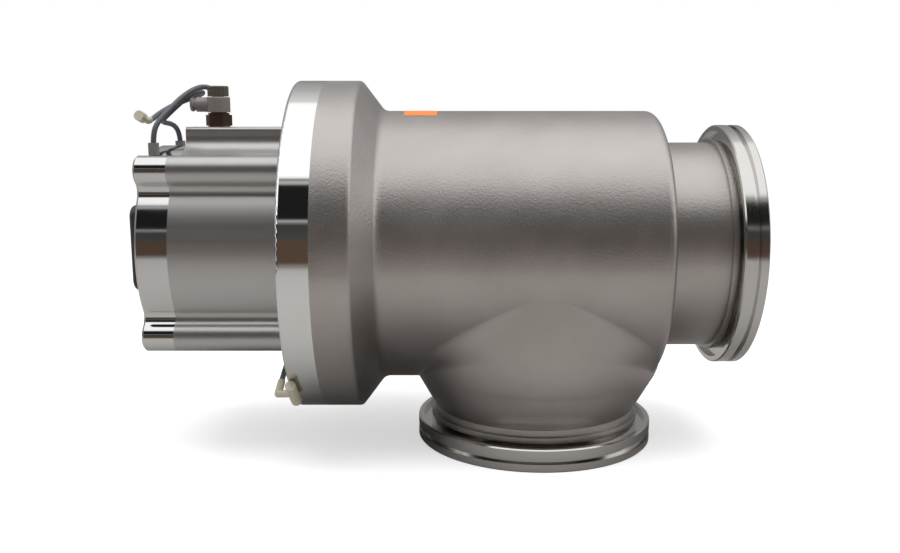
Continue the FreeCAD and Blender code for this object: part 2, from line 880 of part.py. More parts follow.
def sensor_grooves(body, start, depth):
    """Two open round grooves beside the top rail, which hold the position sensors."""
    side = D.sensor_groove_side
    up = GROOVE_HEIGHT
    spots = [(-side, up, D.sensor_groove_radius), (side, up, D.sensor_groove_radius)]
    pocket(body, circles(new_sketch(body, "YZ_Plane", start), spots), depth)


def cylinder_tube():
    """Extruded tube with four lobes and a top rail that holds the air duct."""
    body = new_body("cylinder_tube")
    lobed_prism(body, TUBE_END, D.tube_length)
    half = D.rail_half_width
    top = RAIL_TOP
    corner = D.rail_corner
    centre_side = half + D.rail_fillet
    centre_up = root((D.tube_radius + D.rail_fillet) * (D.tube_radius + D.rail_fillet)
                     - centre_side * centre_side)
    share = D.tube_radius / (D.tube_radius + D.rail_fillet)
    foot = centre_side * share
    foot_up = centre_up * share
    rail = outline(new_sketch(body, "YZ_Plane", TUBE_END), [
        (foot, foot_up, (D.rail_fillet, -1)),
        (half, centre_up),
        (half, top - corner, (corner, 1)),
        (half - corner, top),
        (corner - half, top, (corner, 1)),
        (-half, top - corner),
        (-half, centre_up, (D.rail_fillet, -1)),
        (-foot, foot_up),
        (-foot, foot_up - D.rail_root),
        (foot, foot_up - D.rail_root),
    ])
    pad(body, rail, D.tube_length)
    bore = circles(new_sketch(body, "YZ_Plane", TUBE_END), [(0, 0, D.tube_bore)])
    pocket(body, bore, D.tube_length)
    count = D.lobe_count
    screw_holes(body, TUBE_END, SCREW_DIAGONAL, D.cap_screw_hole, D.tube_length, count, length(LOBE_TURN))
    sensor_grooves(body, TUBE_END, D.tube_length)
    duct = circles(new_sketch(body, "YZ_Plane", -D.fitting_place), [(0, DUCT_HEIGHT, D.duct_radius)])
    pocket(body, duct, D.fitting_place + PLATE_FACE)
    well = D.stud_thread_radius + D.stud_hole_clearance
    floor = RAIL_TOP - D.stud_well_depth
    port = circles(new_sketch(body, "XY_Plane", floor), [(-D.fitting_place, 0, well)])
    pocket(body, port, D.stud_well_depth)
    return body


def end_cap():
    """Polished cap with the tube's outline, a spigot and a pocket for the spring."""
    body = new_body("end_cap")
    lobed_prism(body, CAP_FACE, D.cap_thickness)
    spigot = circles(new_sketch(body, "YZ_Plane", TUBE_END), [(0, 0, SPIGOT_RADIUS)])
    pad(body, spigot, D.spigot_length)
    DOC.recompute()
    names = []
    for number, edge in enumerate(body.Tip.Shape.Edges, 1):
        centre = edge.CenterOfMass
        outer = Vector(0, centre.y, centre.z).Length > float(D.tube_bore)
        if abs(centre.x - float(CAP_FACE)) < TOLERANCE and outer:
            names.append("Edge%d" % number)
    dress(body, "Chamfer", names, D.cap_chamfer)
    near = TUBE_END + D.spigot_groove_offset
    far = near + D.spigot_groove_width
    floor = SPIGOT_RADIUS - D.spigot_groove_depth
    past = D.tube_bore + D.spigot_groove_depth
    groove(body, [(near, floor), (near, past), (far, past), (far, floor)])
    spring_room = circles(new_sketch(body, "YZ_Plane", POCKET_FLOOR), [(0, 0, D.spring_pocket_radius)])
    pocket(body, spring_room, CAP_SPIGOT_FACE - POCKET_FLOOR)
    count = D.lobe_count
    turn = length(LOBE_TURN)
    head_hole = D.cap_head_radius + D.head_clearance
    head_room = D.cap_head_height + D.head_clearance
    screw_holes(body, CAP_FACE, SCREW_DIAGONAL, D.cap_screw_hole, D.cap_thickness, count, turn)
    screw_holes(body, CAP_FACE, SCREW_DIAGONAL, head_hole, head_room, count, turn)
    sensor_grooves(body, CAP_FACE, D.cap_thickness)
    tapped = D.cover_screw_radius + D.thread_clearance
    depth = D.cover_screw_grip + D.thread_run_out
    diagonal = D.cover_screw_offset * root(length(2))
    screw_holes(body, CAP_FACE, diagonal, tapped, depth, D.cover_screw_count, turn)
    vent = circles(new_sketch(body, "YZ_Plane", CAP_FACE), [(0, 0, D.vent_radius)])
    pocket(body, vent, D.spring_pocket_floor)
    return body


def rounded_square(sketch, half, corner):
    """A square about the centre with round corners."""
    side = half - corner
    return outline(sketch, [
        (side, -half, (corner, 1)),
        (half, -side),
        (half, side, (corner, 1)),
        (side, half),
        (-side, half, (corner, 1)),
        (-half, side),
        (-half, -side, (corner, 1)),
        (-side, -half),
    ])


def end_cover():
    """Black moulded cover: a shell open to the cap, with a boss round each screw."""
    body = new_body("end_cover")
    half = D.cover_width / 2
    pad(body, rounded_square(new_sketch(body, "YZ_Plane", COVER_FACE), half, D.cover_corner), D.cover_depth)
    DOC.recompute()
    names = []
    for number, edge in enumerate(body.Tip.Shape.Edges, 1):
        if abs(edge.CenterOfMass.x - float(COVER_FACE)) < TOLERANCE:
            names.append("Edge%d" % number)
    dress(body, "Fillet", names, D.cover_edge)
    inner = new_sketch(body, "YZ_Plane", COVER_FACE + D.cover_wall)
    rounded_square(inner, half - D.cover_wall, D.cover_corner - D.cover_wall)
    pocket(body, inner, D.cover_depth - D.cover_wall)
    diagonal = D.cover_screw_offset * root(length(2))
    tilt = Rotation(Vector(0, 0, 1), LOBE_TURN)
    boss = new_sketch(body, "YZ_Plane", COVER_FACE + D.cover_wall, tilt)
    circles(boss, [(0, diagonal, D.cover_boss_radius)])
    count = D.cover_screw_count
    repeat_about(body, [pad(body, boss, D.cover_depth - D.cover_wall)], count)
    turn = length(LOBE_TURN)
    head_hole = D.cover_head_radius + D.cover_head_clearance
    head_room = D.cover_head_height + D.cover_head_clearance
    shank_hole = D.cover_screw_radius + D.cover_head_clearance
    screw_holes(body, COVER_FACE, diagonal, shank_hole, D.cover_depth, count, turn)
    screw_holes(body, COVER_FACE, diagonal, head_hole, head_room, count, turn)
    return body


def screws(label, seat, circle, turn, count, head_radius, head_height, shank_radius, shank_length, key):
    """A ring of socket-head screws: heads left of the seat, shanks to its right."""
    body = new_body(label)
    body.AllowCompound = True
    tilt = Rotation(Vector(1, 0, 0), float(turn))
    sketch = new_sketch(body, "XZ_Plane", 0, tilt)
    outline(sketch, [
        (seat - head_height, circle),
        (seat - head_height, circle + head_radius),
        (seat, circle + head_radius),
        (seat, circle + shank_radius),
        (seat + shank_length, circle + shank_radius),
        (seat + shank_length, circle),
    ])
    line = Part.LineSegment(Vector(0, float(circle), 0), Vector(1, float(circle), 0))
    axis = sketch.addGeometry(line, True)
    sketch.addConstraint(Sketcher.Constraint("Horizontal", axis))
    sketch.addConstraint(Sketcher.Constraint("DistanceX", axis, 1, axis, 2, 1))
    pin(sketch, "DistanceX", (axis, 1), 0)
    pin(sketch, "DistanceY", (axis, 1), circle)
    shaft = add_feature(body, "Revolution", sketch, ReferenceAxis=(sketch, ["Axis0"]))
    spin = Rotation(Vector(0, 0, 1), float(turn))
    socket = hexagon(new_sketch(body, "YZ_Plane", seat - head_height, spin),
                     key, circle)
    hole = pocket(body, socket, head_height * D.socket_share)
    repeat_about(body, [shaft, hole], count)
    return body


def hexagon(sketch, flats, up=0):
    """A hexagon of a given width across flats, centred at a height on the sketch."""
    side = flats / root(length(3))
    half = side / 2
    return outline(sketch, [
        (-half, up - flats / 2),
        (half, up - flats / 2),
        (side, length(up)),
        (half, up + flats / 2),
        (-half, up + flats / 2),
        (-side, length(up)),
    ])


def all_screws():
    head_seat = PLATE_FACE + D.bonnet_head_height + D.head_clearance
    reach = BODY_FACE - head_seat + D.bonnet_screw_depth
    bonnet = screws("bonnet_screws", head_seat, BOLT_CIRCLE, D.bonnet_screw_turn,
                    D.bonnet_screw_count, BOLT_HEAD, D.bonnet_head_height,
                    BOLT_RADIUS, reach, BOLT_KEY)
    cap_seat = CAP_FACE + D.cap_head_height + D.head_clearance
    cap_reach = PLATE_FACE - cap_seat + D.cap_screw_grip
    cap = screws("cap_screws", cap_seat, SCREW_DIAGONAL, length(LOBE_TURN), D.lobe_count,
                 D.cap_head_radius, D.cap_head_height, D.cap_screw_radius, cap_reach, D.cap_screw_key)
    cover_seat = COVER_FACE + D.cover_head_height + D.cover_head_clearance
    cover_reach = CAP_FACE - cover_seat + D.cover_screw_grip
    diagonal = D.cover_screw_offset * root(length(2))
    cover = screws("cover_screws", cover_seat, diagonal, length(LOBE_TURN), D.cover_screw_count,
                   D.cover_head_radius, D.cover_head_height, D.cover_screw_radius, cover_reach,
                   D.cover_screw_key)
    return [bonnet, cap, cover]


def static_seals():
    """Seal rings between body and plate, plate and tube, and tube and cap."""
    section = D.bonnet_seal_section
    face_ring = ring("bonnet_seal", BODY_FACE - 2 * section, BODY_FACE,
                     SEAL_CIRCLE - section, SEAL_CIRCLE + section)
    floor = SPIGOT_RADIUS - D.spigot_groove_depth
    play = D.seal_clearance
    start = PLATE_FACE - D.spigot_groove_offset - play
    end = start - D.spigot_groove_width + 2 * play
    tube_ring = ring("tube_seal", end, start, floor, D.tube_bore)
    start = TUBE_END + D.spigot_groove_offset + play
    end = start + D.spigot_groove_width - 2 * play
    cap_ring = ring("cap_seal", start, end, floor, D.tube_bore)
    return [face_ring, tube_ring, cap_ring]


def rod_guides():
    """Bush, lip seal and retaining ring round the rod in the bonnet plate."""
    bore = D.rod_radius + D.rod_clearance
    retainer_end = SPIGOT_FACE + D.retainer_thickness
    seal_end = retainer_end + D.rod_seal_length
    bush = ring("rod_bush", seal_end, seal_end + D.bush_length, bore, D.bush_radius)
    seal = ring("rod_seal", retainer_end, seal_end, bore, D.rod_seal_radius)
    retainer = ring("seal_retainer", SPIGOT_FACE, retainer_end, D.rod_radius + D.rod_relief,
                    D.rod_seal_radius + D.retainer_bite)
    return [bush, seal, retainer]


def actuator_rod():
    """Rod from the disc's hub to the piston, with a neck for the piston and its nut."""
    tail = HUB_BACK - D.nut_height - D.rod_tail
    tapped = D.disc_screw_radius + D.thread_clearance
    depth = DISC_BACK - D.disc_screw_length
    return turned("actuator_rod", [
        (tail, 0),
        (tail, D.rod_neck),
        (PISTON_FRONT, D.rod_neck),
        (PISTON_FRONT, D.rod_radius),
        (DISC_BACK, D.rod_radius),
        (DISC_BACK, tapped),
        (depth, tapped),
        (depth, 0),
    ])


def piston_rings():
    """Places of the rings in the piston's rim, from its front face: label, start, end, inner radius."""
    rows = []
    place_now = PISTON_FRONT - D.ring_land
    for label, width, depth in (
        ("piston_seal", D.seal_ring_width, D.seal_ring_depth),
        ("magnet_ring", D.magnet_width, D.magnet_depth),
        ("wear_ring", D.wear_ring_width, D.wear_ring_depth),
    ):
        rows.append((label, place_now - width, place_now, PISTON_RADIUS - depth))
        place_now = place_now - width - D.ring_land
    return rows


def piston():
    """Turned piston with a spring pocket, a hub for the rod's neck and three ring grooves."""
    corners = [
        (PISTON_FRONT, D.rod_neck),
        (PISTON_FRONT, PISTON_RADIUS),
    ]
    for label, end, start, floor in piston_rings():
        corners += [(start, PISTON_RADIUS), (start, floor), (end, floor), (end, PISTON_RADIUS)]
    corners += [
        (PISTON_BACK, PISTON_RADIUS),
        (PISTON_BACK, D.spring_pocket_radius),
        (PISTON_FLOOR, D.spring_pocket_radius),
        (PISTON_FLOOR, D.piston_hub_radius),
        (HUB_BACK, D.piston_hub_radius),
        (HUB_BACK, D.rod_neck),
    ]
    return turned("piston", corners)


def rings_on_piston():
    play = D.ring_play
    outer = {
        "piston_seal": D.tube_bore - D.ring_clearance,
        "magnet_ring": PISTON_RADIUS,
        "wear_ring": D.tube_bore - D.ring_clearance,
    }
    return [ring(label, end + play, start - play, floor, outer[label])
            for label, end, start, floor in piston_rings()]


def piston_nut():
    body = new_body("piston_nut")
    nut = hexagon(new_sketch(body, "YZ_Plane", HUB_BACK - D.nut_height), D.nut_flats)
    pad(body, nut, D.nut_height)
    hole = circles(new_sketch(body, "YZ_Plane", HUB_BACK - D.nut_height),
                   [(0, 0, D.rod_neck + D.thread_clearance)])
    pocket(body, hole, D.nut_height)
    return body


def valve_disc():
    """Disc that closes on the seat, with a seal groove, a hub for the rod and a screw recess."""
    play = D.seal_clearance
    inner = D.disc_seal_circle - D.disc_seal_section - play
    outer = D.disc_seal_circle + D.disc_seal_section + play
    floor = SEAT_FACE - D.seal_seat_gap - 2 * D.disc_seal_section
    recess = D.disc_head_radius + D.head_clearance
    seat = DISC_FACE - D.disc_head_height - D.head_clearance
    shank = D.disc_screw_radius + D.thread_clearance
    rod = D.rod_radius + D.thread_clearance
    body = turned("valve_disc", [
        (DISC_HUB_END, rod),
        (DISC_HUB_END, D.disc_hub_radius),
        (DISC_BACK, D.disc_hub_radius),
        (DISC_BACK, D.disc_radius),
        (DISC_FACE, D.disc_radius),
        (DISC_FACE, outer),
        (floor, outer),
        (floor, inner),
        (DISC_FACE, inner),
        (DISC_FACE, recess),
        (seat, recess),
        (seat, shank),
        (DISC_BACK, shank),
        (DISC_BACK, rod),
    ])
    edges = [(DISC_BACK, D.disc_radius), (DISC_FACE, D.disc_radius)]
    round_rings(body, edges, D.disc_edge)
    return body


def disc_seal():
    end = SEAT_FACE - D.seal_seat_gap
    inner = D.disc_seal_circle - D.disc_seal_section
    outer = D.disc_seal_circle + D.disc_seal_section
    body = ring("disc_seal", end - 2 * D.disc_seal_section, end, inner, outer)
    round_rings(body, [(end, inner), (end, outer)], D.disc_seal_edge)
    return body


def disc_screw():
    seat = DISC_FACE - D.disc_head_height - D.head_clearance
    body = turned("disc_screw", [
        (seat - D.disc_screw_length, 0),
        (seat - D.disc_screw_length, D.disc_screw_radius),
        (seat, D.disc_screw_radius),
        (seat, D.disc_head_radius),
        (seat + D.disc_head_height, D.disc_head_radius),
        (seat + D.disc_head_height, 0),
    ])
    depth = D.disc_head_height * D.socket_share
    key = hexagon(new_sketch(body, "YZ_Plane", seat + D.disc_head_height - depth), D.disc_screw_key)
    pocket(body, key, depth)
    return body


def bellows_set():
    """Welded bellows between the plate's collar and the disc's end ring."""
    ring_start = DISC_BACK - D.end_ring_length
    inner = D.disc_hub_radius + D.thread_clearance
    end_ring = ring("bellows_end_ring", ring_start, DISC_BACK, inner, D.collar_radius)
    collar = ring("bellows_collar", COLLAR_BACK, COLLAR_FRONT, D.collar_bore, D.collar_radius)
    body = new_body("bellows")
    folds = SIZES["bellows_folds"]
    half = (ring_start - COLLAR_FRONT) / (2 * D.bellows_folds)
    rise = D.bellows_outer - D.bellows_inner
    slope = root(half * half + rise * rise)
    skin = D.bellows_wall * slope / half
    outside = []
    inside = []
    for step in range(2 * folds + 1):
        along = COLLAR_FRONT + half * step
        crest = step % 2 == 1
        outside.append((along, D.bellows_outer if crest else D.bellows_inner + skin))
        inside.append((along, D.bellows_outer - skin if crest else D.bellows_inner))
    revolve(body, outside + inside[::-1])
    return [end_ring, collar, body]


def spring_route():
    """Points of the spring's wire: one closed turn at each end and open turns between."""
    closed = float(D.spring_wire + D.spring_end_gap)
    room = float(PISTON_FLOOR - POCKET_FLOOR - D.spring_wire - HALVES * D.spring_end_gap)
    turns = float(D.spring_turns)
    pitch = (room - HALVES * closed) / (turns - HALVES)
    points = []
    for step in range(round(turns * SPRING_STEPS) + 1):
        done = step / SPRING_STEPS
        angle = math.tau * done
        rise = min(done, 1) * closed
        rise += max(min(done, turns - 1) - 1, 0) * pitch
        rise += max(done - turns + 1, 0) * closed
        side = float(D.spring_radius)
        points.append(Vector(rise, side * math.cos(angle), side * math.sin(angle)))
    return points


def return_spring():
    """Round-wire spring between the cap's pocket and the piston's pocket."""
    wire = D.spring_wire / 2
    spring = round_tube("return_spring", spring_route(), float(wire), WIRE_ARC_SHARE)
    place(spring, POCKET_FLOOR + wire + D.spring_end_gap, 0, D.port_height)
    return spring


def fitting_place():
    return {"x": -D.fitting_place, "z": D.port_height + RAIL_TOP}


def fitting_stud():
    """Hexagon stud: thread in the rail, neck, and a post that the elbow turns on."""
    body = new_body("fitting_stud", **fitting_place())
    low = D.gasket_thickness
    hex_top = low + D.stud_hex_height
    neck_top = hex_top + D.stud_neck_height
    post_top = ELBOW_TOP - D.elbow_roof - D.elbow_gap
    ring_start = SOCKET_LEVEL - D.stud_ring_height / 2
    revolve(body, [
        (D.stud_bore, -D.stud_thread_length),
        (D.stud_thread_radius, -D.stud_thread_length),
        (D.stud_thread_radius, low),
        (D.stud_neck_radius, low),
        (D.stud_neck_radius, neck_top),
        (D.stud_post_radius, neck_top),
        (D.stud_post_radius, ring_start),
        (D.stud_post_radius - D.stud_ring_depth, ring_start),
        (D.stud_post_radius - D.stud_ring_depth, ring_start + D.stud_ring_height),
        (D.stud_post_radius, ring_start + D.stud_ring_height),
        (D.stud_post_radius, post_top),
        (D.stud_bore, post_top),
    ], "Z")
    collar = hexagon(new_sketch(body, "XY_Plane", low), D.stud_flats)
    pad(body, collar, D.stud_hex_height)
    bore = circles(new_sketch(body, "XY_Plane", -D.stud_thread_length), [(0, 0, D.stud_bore)])
    pocket(body, bore, D.stud_thread_length + hex_top)
    side = circles(new_sketch(body, "YZ_Plane", -D.stud_post_radius),
                   [(0, SOCKET_LEVEL, D.stud_side_hole)])
    pocket(body, side, D.stud_post_radius)
    return body


# Levels of the speed controller over the rail's top.
ELBOW_BASE = D.gasket_thickness + D.stud_hex_height + D.stud_neck_height + D.elbow_gap
ELBOW_TOP = ELBOW_BASE + D.elbow_height
SOCKET_LEVEL = ELBOW_BASE + D.elbow_height / 2
COLLAR_TOP = ELBOW_TOP + D.elbow_collar_height
KNOB_BASE = ELBOW_TOP + D.knob_gap
KNOB_TOP = KNOB_BASE + D.knob_height
LIP_START = D.socket_reach + D.release_travel + D.release_stop_gap
LIP_END = LIP_START + D.release_lip_width


def fitting_elbow():
    """Swivel elbow: a cup over the stud's post with a tube socket towards the cap."""
    body = new_body("fitting_elbow", **fitting_place())
    bore = D.stud_post_radius + D.elbow_clearance
    roof = ELBOW_TOP - D.elbow_roof
    needle = D.needle_radius + D.needle_clearance
    revolve(body, [
        (0, ELBOW_BASE),
        (D.elbow_radius, ELBOW_BASE),
        (D.elbow_radius, ELBOW_TOP),
        (D.elbow_collar_radius, ELBOW_TOP),
        (D.elbow_collar_radius, COLLAR_TOP),
        (0, COLLAR_TOP),
    ], "Z")
    round_rings(body, [(ELBOW_TOP, D.elbow_radius)], D.elbow_edge, axis=Vector(0, 0, 1))
    socket = circles(new_sketch(body, "YZ_Plane", -D.socket_reach), [(0, SOCKET_LEVEL, D.socket_radius)])
    pad(body, socket, D.socket_reach)
    cup = circles(new_sketch(body, "XY_Plane", ELBOW_BASE), [(0, 0, bore)])
    pocket(body, cup, D.elbow_height - D.elbow_roof)
    hole = circles(new_sketch(body, "XY_Plane", roof), [(0, 0, needle)])
    pocket(body, hole, D.elbow_roof + D.elbow_collar_height)
    chamber = circles(new_sketch(body, "YZ_Plane", -D.socket_reach), [(0, SOCKET_LEVEL, D.socket_chamber)])
    pocket(body, chamber, D.socket_reach - D.socket_seat)
    mouth = circles(new_sketch(body, "YZ_Plane", -D.socket_seat), [(0, SOCKET_LEVEL, D.tube_hole)])
    pocket(body, mouth, D.socket_seat - D.socket_stop)
    passage = circles(new_sketch(body, "YZ_Plane", -D.socket_stop), [(0, SOCKET_LEVEL, D.passage_radius)])
    pocket(body, passage, D.passage_radius)
    return body


def stud_gasket():
    return ring("stud_gasket", length(0), D.gasket_thickness,
                D.stud_thread_radius + D.thread_clearance, D.gasket_radius, "Z", **fitting_place())


def socket_place():
    return {"x": -D.fitting_place, "z": D.port_height + RAIL_TOP + SOCKET_LEVEL}


def socket_rings():
    """Seal, collet and release ring round the air tube's hole."""
    outer = D.socket_chamber - D.socket_fit
    seal_end = D.socket_seat + D.socket_seal_width
    collet_end = seal_end + D.collet_width
    seal = ring("socket_seal", -seal_end, -D.socket_seat, D.tube_hole, outer, **socket_place())
    collet = ring("tube_collet", -collet_end, -seal_end, D.tube_hole, outer, **socket_place())
    sleeve = collet_end + D.release_travel + D.release_stop_gap
    release = turned("release_ring", [
        (-sleeve, D.tube_hole),
        (-sleeve, outer),
        (-LIP_START, outer),
        (-LIP_START, D.release_lip_radius),
        (-LIP_END, D.release_lip_radius),
        (-LIP_END, D.tube_hole),
    ], **socket_place())
    edges = [(-LIP_END, D.release_lip_radius), (-LIP_START, D.release_lip_radius)]
    round_rings(release, edges, D.release_edge)
    return [seal, collet, release]


def adjusting_knob():
    """Knurled knob that turns on the elbow's collar."""
    body = new_body("adjusting_knob", **fitting_place())
    collar = D.elbow_collar_radius + D.knob_clearance
    needle = D.needle_radius + D.needle_clearance
    recess_top = COLLAR_TOP + D.knob_gap
    bore_top = KNOB_TOP - D.knob_roof
    revolve(body, [
        (collar, KNOB_BASE),
        (D.knob_radius, KNOB_BASE),
        (D.knob_radius, KNOB_TOP),
        (0, KNOB_TOP),
        (0, bore_top),
        (needle, bore_top),
        (needle, recess_top),
        (collar, recess_top),
    ], "Z")
    round_rings(body, [(KNOB_TOP, D.knob_radius)], D.knob_edge, "Chamfer", Vector(0, 0, 1))
    depth = D.knob_flute_depth
    tip = D.knob_radius - depth
    flute = outline(new_sketch(body, "XY_Plane", KNOB_BASE), [
        (D.knob_radius + depth, -2 * depth),
        (D.knob_radius + depth, 2 * depth),
        (tip, 0),
    ])
    cut = pocket(body, flute, D.knob_height)
    repeat_about(body, [cut], D.knob_flutes, "Z_Axis")
    return body


def needle():
    """Throttle needle: its tip reaches down into the stud's bore."""
    top = COLLAR_TOP + D.knob_gap
    low = SOCKET_LEVEL - D.needle_reach
    return turned("needle", [
        (0, low),
        (D.needle_radius, low + D.needle_tip),
        (D.needle_radius, top),
        (0, top),
    ], "Z", **fitting_place())


def sensor(label, side):
    """Position sensor: a round body in its groove and an end block that the lead leaves."""
    body = new_body(label)
    start = CAP_FACE + D.sensor_inset
    across = side * D.sensor_groove_side
    stem = circles(new_sketch(body, "YZ_Plane", start), [(across, GROOVE_HEIGHT, D.sensor_radius)])
    pad(body, stem, D.sensor_length)
    half = D.sensor_neck / 2
    base = GROOVE_HEIGHT
    shelf = BLOCK_SHELF
    neck = outline(new_sketch(body, "YZ_Plane", start), [
        (across - half, base),
        (across + half, base),
        (across + half, shelf),
        (across - half, shelf),
    ])
    pad(body, neck, D.sensor_block_length)
    half = D.sensor_block_width / 2
    block = outline(new_sketch(body, "YZ_Plane", start), [
        (across - half, shelf),
        (across + half, shelf),
        (across + half, BLOCK_TOP),
        (across - half, BLOCK_TOP),
    ])
    pad(body, block, D.sensor_block_length)
    return body


def tangent_arcs(points, share):
    """Edges of a path: straight runs joined by arcs that take a share of the shorter run."""
    runs = [(end - start).Length for start, end in zip(points, points[1:])]
    edges = []
    radii = []
    here = points[0]
    path = 0
    for number in range(1, len(points) - 1):
        corner = points[number]
        back = (points[number - 1] - corner).normalize()
        ahead = (points[number + 1] - corner).normalize()
        turn = math.pi - back.getAngle(ahead)
        reach = share * min(runs[number - 1], runs[number])
        radius = reach / math.tan(turn / 2)
        first = corner + back * reach
        last = corner + ahead * reach
        inward = (back + ahead).normalize()
        middle = corner + inward * (radius / math.cos(turn / 2) - radius)
        edges.append(Part.LineSegment(here, first).toShape())
        edges.append(Part.Arc(first, middle, last).toShape())
        path += (first - here).Length + radius * turn
        radii.append(radius)
        here = last
    edges.append(Part.LineSegment(here, points[-1]).toShape())
    path += (points[-1] - here).Length
    return edges, path, radii


def round_tube(label, points, radius, share):
    """A solid round bar along a path of points."""
    edges, path, radii = tangent_arcs(points, share)
    section = Part.Wire(Part.Circle(points[0], points[1] - points[0], radius).toShape())
    tube = DOC.addObject("Part::Feature", label)
    tube.Label = label
    tube.Shape = Part.Wire(edges).makePipeShell([section], True, False, 2)
    want = math.pi * radius ** 2 * path
    print("%s: length %.1f, volume %.1f of %.1f" % (label, path, tube.Shape.Volume, want))
    print("  least radius %.1f" % min(radii))
    return tube


def route_lift(route):
    """Height of a route's base, so that it starts on top of its sensor's block."""
    return D.port_height + BLOCK_TOP - length(route[0][2])


def lead(label, route):
    """A sensor's lead along its route."""
    points = [Vector(*point) for point in route]
    tube = round_tube(label, points, float(D.lead_radius), ARC_SHARE)
    place(tube, 0, 0, route_lift(route))
    return tube


def rod_between(name, start, end, radius):
    """A round bar between two points."""
    bar = DOC.addObject("Part::Cylinder", name)
    run = end - start
    bar.Height = run.Length
    bar.Radius = float(radius)
    bar.setExpression("Radius", radius.text)
    bar.Placement = Placement(start, Rotation(Vector(0, 0, 1), run))
    return bar


def connector(label, bar, route, grip):
    """A lead's nylon connector: a round bar, and the bent grip that the lead enters."""
    low, high = [Vector(*point) for point in bar]
    last, end = [Vector(*point) for point in route[-2:]]
    knee = end + (end - last).normalize() * float(grip)
    ball = DOC.addObject("Part::Sphere", label + "_knee")
    ball.Radius = float(D.grip_radius)
    ball.setExpression("Radius", D.grip_radius.text)
    ball.Placement = Placement(knee, Rotation())
    whole = DOC.addObject("Part::MultiFuse", label)
    whole.Label = label
    whole.Shapes = [
        rod_between(label + "_bar", low, high, D.connector_radius),
        rod_between(label + "_grip", end, knee, D.grip_radius),
        ball,
        rod_between(label + "_foot", knee, (low + high) / HALVES, D.grip_radius),
    ]
    place(whole, 0, 0, route_lift(route))
    return whole


def build():
    parts = [valve_body(), bonnet_plate(), cylinder_tube(), end_cap(), end_cover()]
    parts += all_screws()
    parts += static_seals()
    parts += rod_guides()
    parts += [actuator_rod(), piston()]
    parts += rings_on_piston()
    parts += [piston_nut(), valve_disc(), disc_seal(), disc_screw()]
    parts += bellows_set()
    parts += [return_spring(), fitting_stud(), stud_gasket(), fitting_elbow()]
    parts += socket_rings()
    parts += [adjusting_knob(), needle()]
    parts += [sensor("sensor_front", -1), sensor("sensor_rear", 1)]
    parts += [lead("sensor_front_lead", FRONT_LEAD), lead("sensor_rear_lead", REAR_LEAD)]
    parts += [
        connector("connector_lower", LOWER_BAR, FRONT_LEAD, D.lower_grip_length),
        connector("connector_upper", UPPER_BAR, REAR_LEAD, D.upper_grip_length),
    ]
    return parts


def fill_sheet():
    """Write every driving size into the sheet, each with its name as alias."""
    sheet = DOC.addObject("Spreadsheet::Sheet", "Sizes")
    for row, (name, value) in enumerate(SIZES.items(), 1):
        sheet.set("A%d" % row, name)
        sheet.set("B%d" % row, repr(value))
        sheet.setAlias("B%d" % row, name)
    DOC.recompute()


def check_and_write(parts):
    """Stop on any failed or empty piece, and write one file for each sub-part."""
    DOC.recompute()
    for item in DOC.Objects:
        if "Invalid" in item.State or "Error" in item.State:
            raise ValueError("failed: " + item.Label)
    for part in parts:
        if part.Shape.isNull() or not part.Shape.isValid():
            raise ValueError("bad shape: " + part.Label)
    os.makedirs(OUT, exist_ok=True)
    for part in parts:
        part.Shape.exportStep(os.path.join(OUT, part.Label + ".step"))
        print("%-20s solids %d  volume %.0f" % (part.Label, len(part.Shape.Solids), part.Shape.Volume))


fill_sheet()
check_and_write(build())
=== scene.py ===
# %% [markdown]
# # Dressing a vacuum angle valve
# The solids of the valve come from its CAD source, packed with their joints.
# This lesson keeps each solid as it is and gives it the surface of the real one:
# blasted steel, turned and polished metal, moulded plastic and soft cable.

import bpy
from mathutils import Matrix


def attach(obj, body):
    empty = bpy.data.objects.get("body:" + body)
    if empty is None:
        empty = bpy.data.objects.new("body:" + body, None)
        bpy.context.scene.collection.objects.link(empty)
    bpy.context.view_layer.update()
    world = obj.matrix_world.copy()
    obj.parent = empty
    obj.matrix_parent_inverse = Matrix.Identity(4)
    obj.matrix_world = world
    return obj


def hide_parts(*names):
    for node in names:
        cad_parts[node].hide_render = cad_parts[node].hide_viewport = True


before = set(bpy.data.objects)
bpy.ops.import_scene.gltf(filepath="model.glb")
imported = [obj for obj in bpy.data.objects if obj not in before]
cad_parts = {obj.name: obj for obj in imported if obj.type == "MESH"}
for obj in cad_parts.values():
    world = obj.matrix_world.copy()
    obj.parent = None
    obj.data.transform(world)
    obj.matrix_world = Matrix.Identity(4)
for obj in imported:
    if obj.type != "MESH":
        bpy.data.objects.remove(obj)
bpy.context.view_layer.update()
print("solids in the frame:", len(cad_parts))

# %% Tools
import math
import bpy
import numpy as np

MM = 0.001
AXIS_HEIGHT = 0.108
print("all lengths below are in metres, the main axis lies at z =", AXIS_HEIGHT)

# %% [markdown]
# ## The camera
# The photograph shows the valve square from its side and from a little above.
# Its lens was worked out from the outlines of the flanges, which are circles of
# a known size, so it is set here as numbers instead of being placed by eye.

# %% Camera
CAMERA_SPOT = (-0.0474, -0.5087, 0.1754)
CAMERA_DROP = math.radians(9.57)
LENS = 37.02
SENSOR = 36
NEAR, FAR = 0.01, 50


def add_camera():
    """Returns a camera that looks along +Y, turned down by CAMERA_DROP."""
    data = bpy.data.cameras.new("camera")
    data.lens = LENS
    data.sensor_width = SENSOR
    data.clip_start = NEAR
    data.clip_end = FAR
    camera = bpy.data.objects.new("camera", data)
    camera.location = CAMERA_SPOT
    camera.rotation_euler = (math.radians(90) - CAMERA_DROP, 0, 0)
    bpy.context.scene.collection.objects.link(camera)
    bpy.context.scene.camera = camera
    return camera


camera = add_camera()
print("camera at", tuple(camera.location), "lens", LENS)

# %% [markdown]
# ## Writing materials as sums
# A finish is a picture of numbers over the surface: how rough, how dark, how
# deep a mark is. It reads best as plain arithmetic, so a small class wraps a
# node socket and every operator adds the Math node that does the sum.


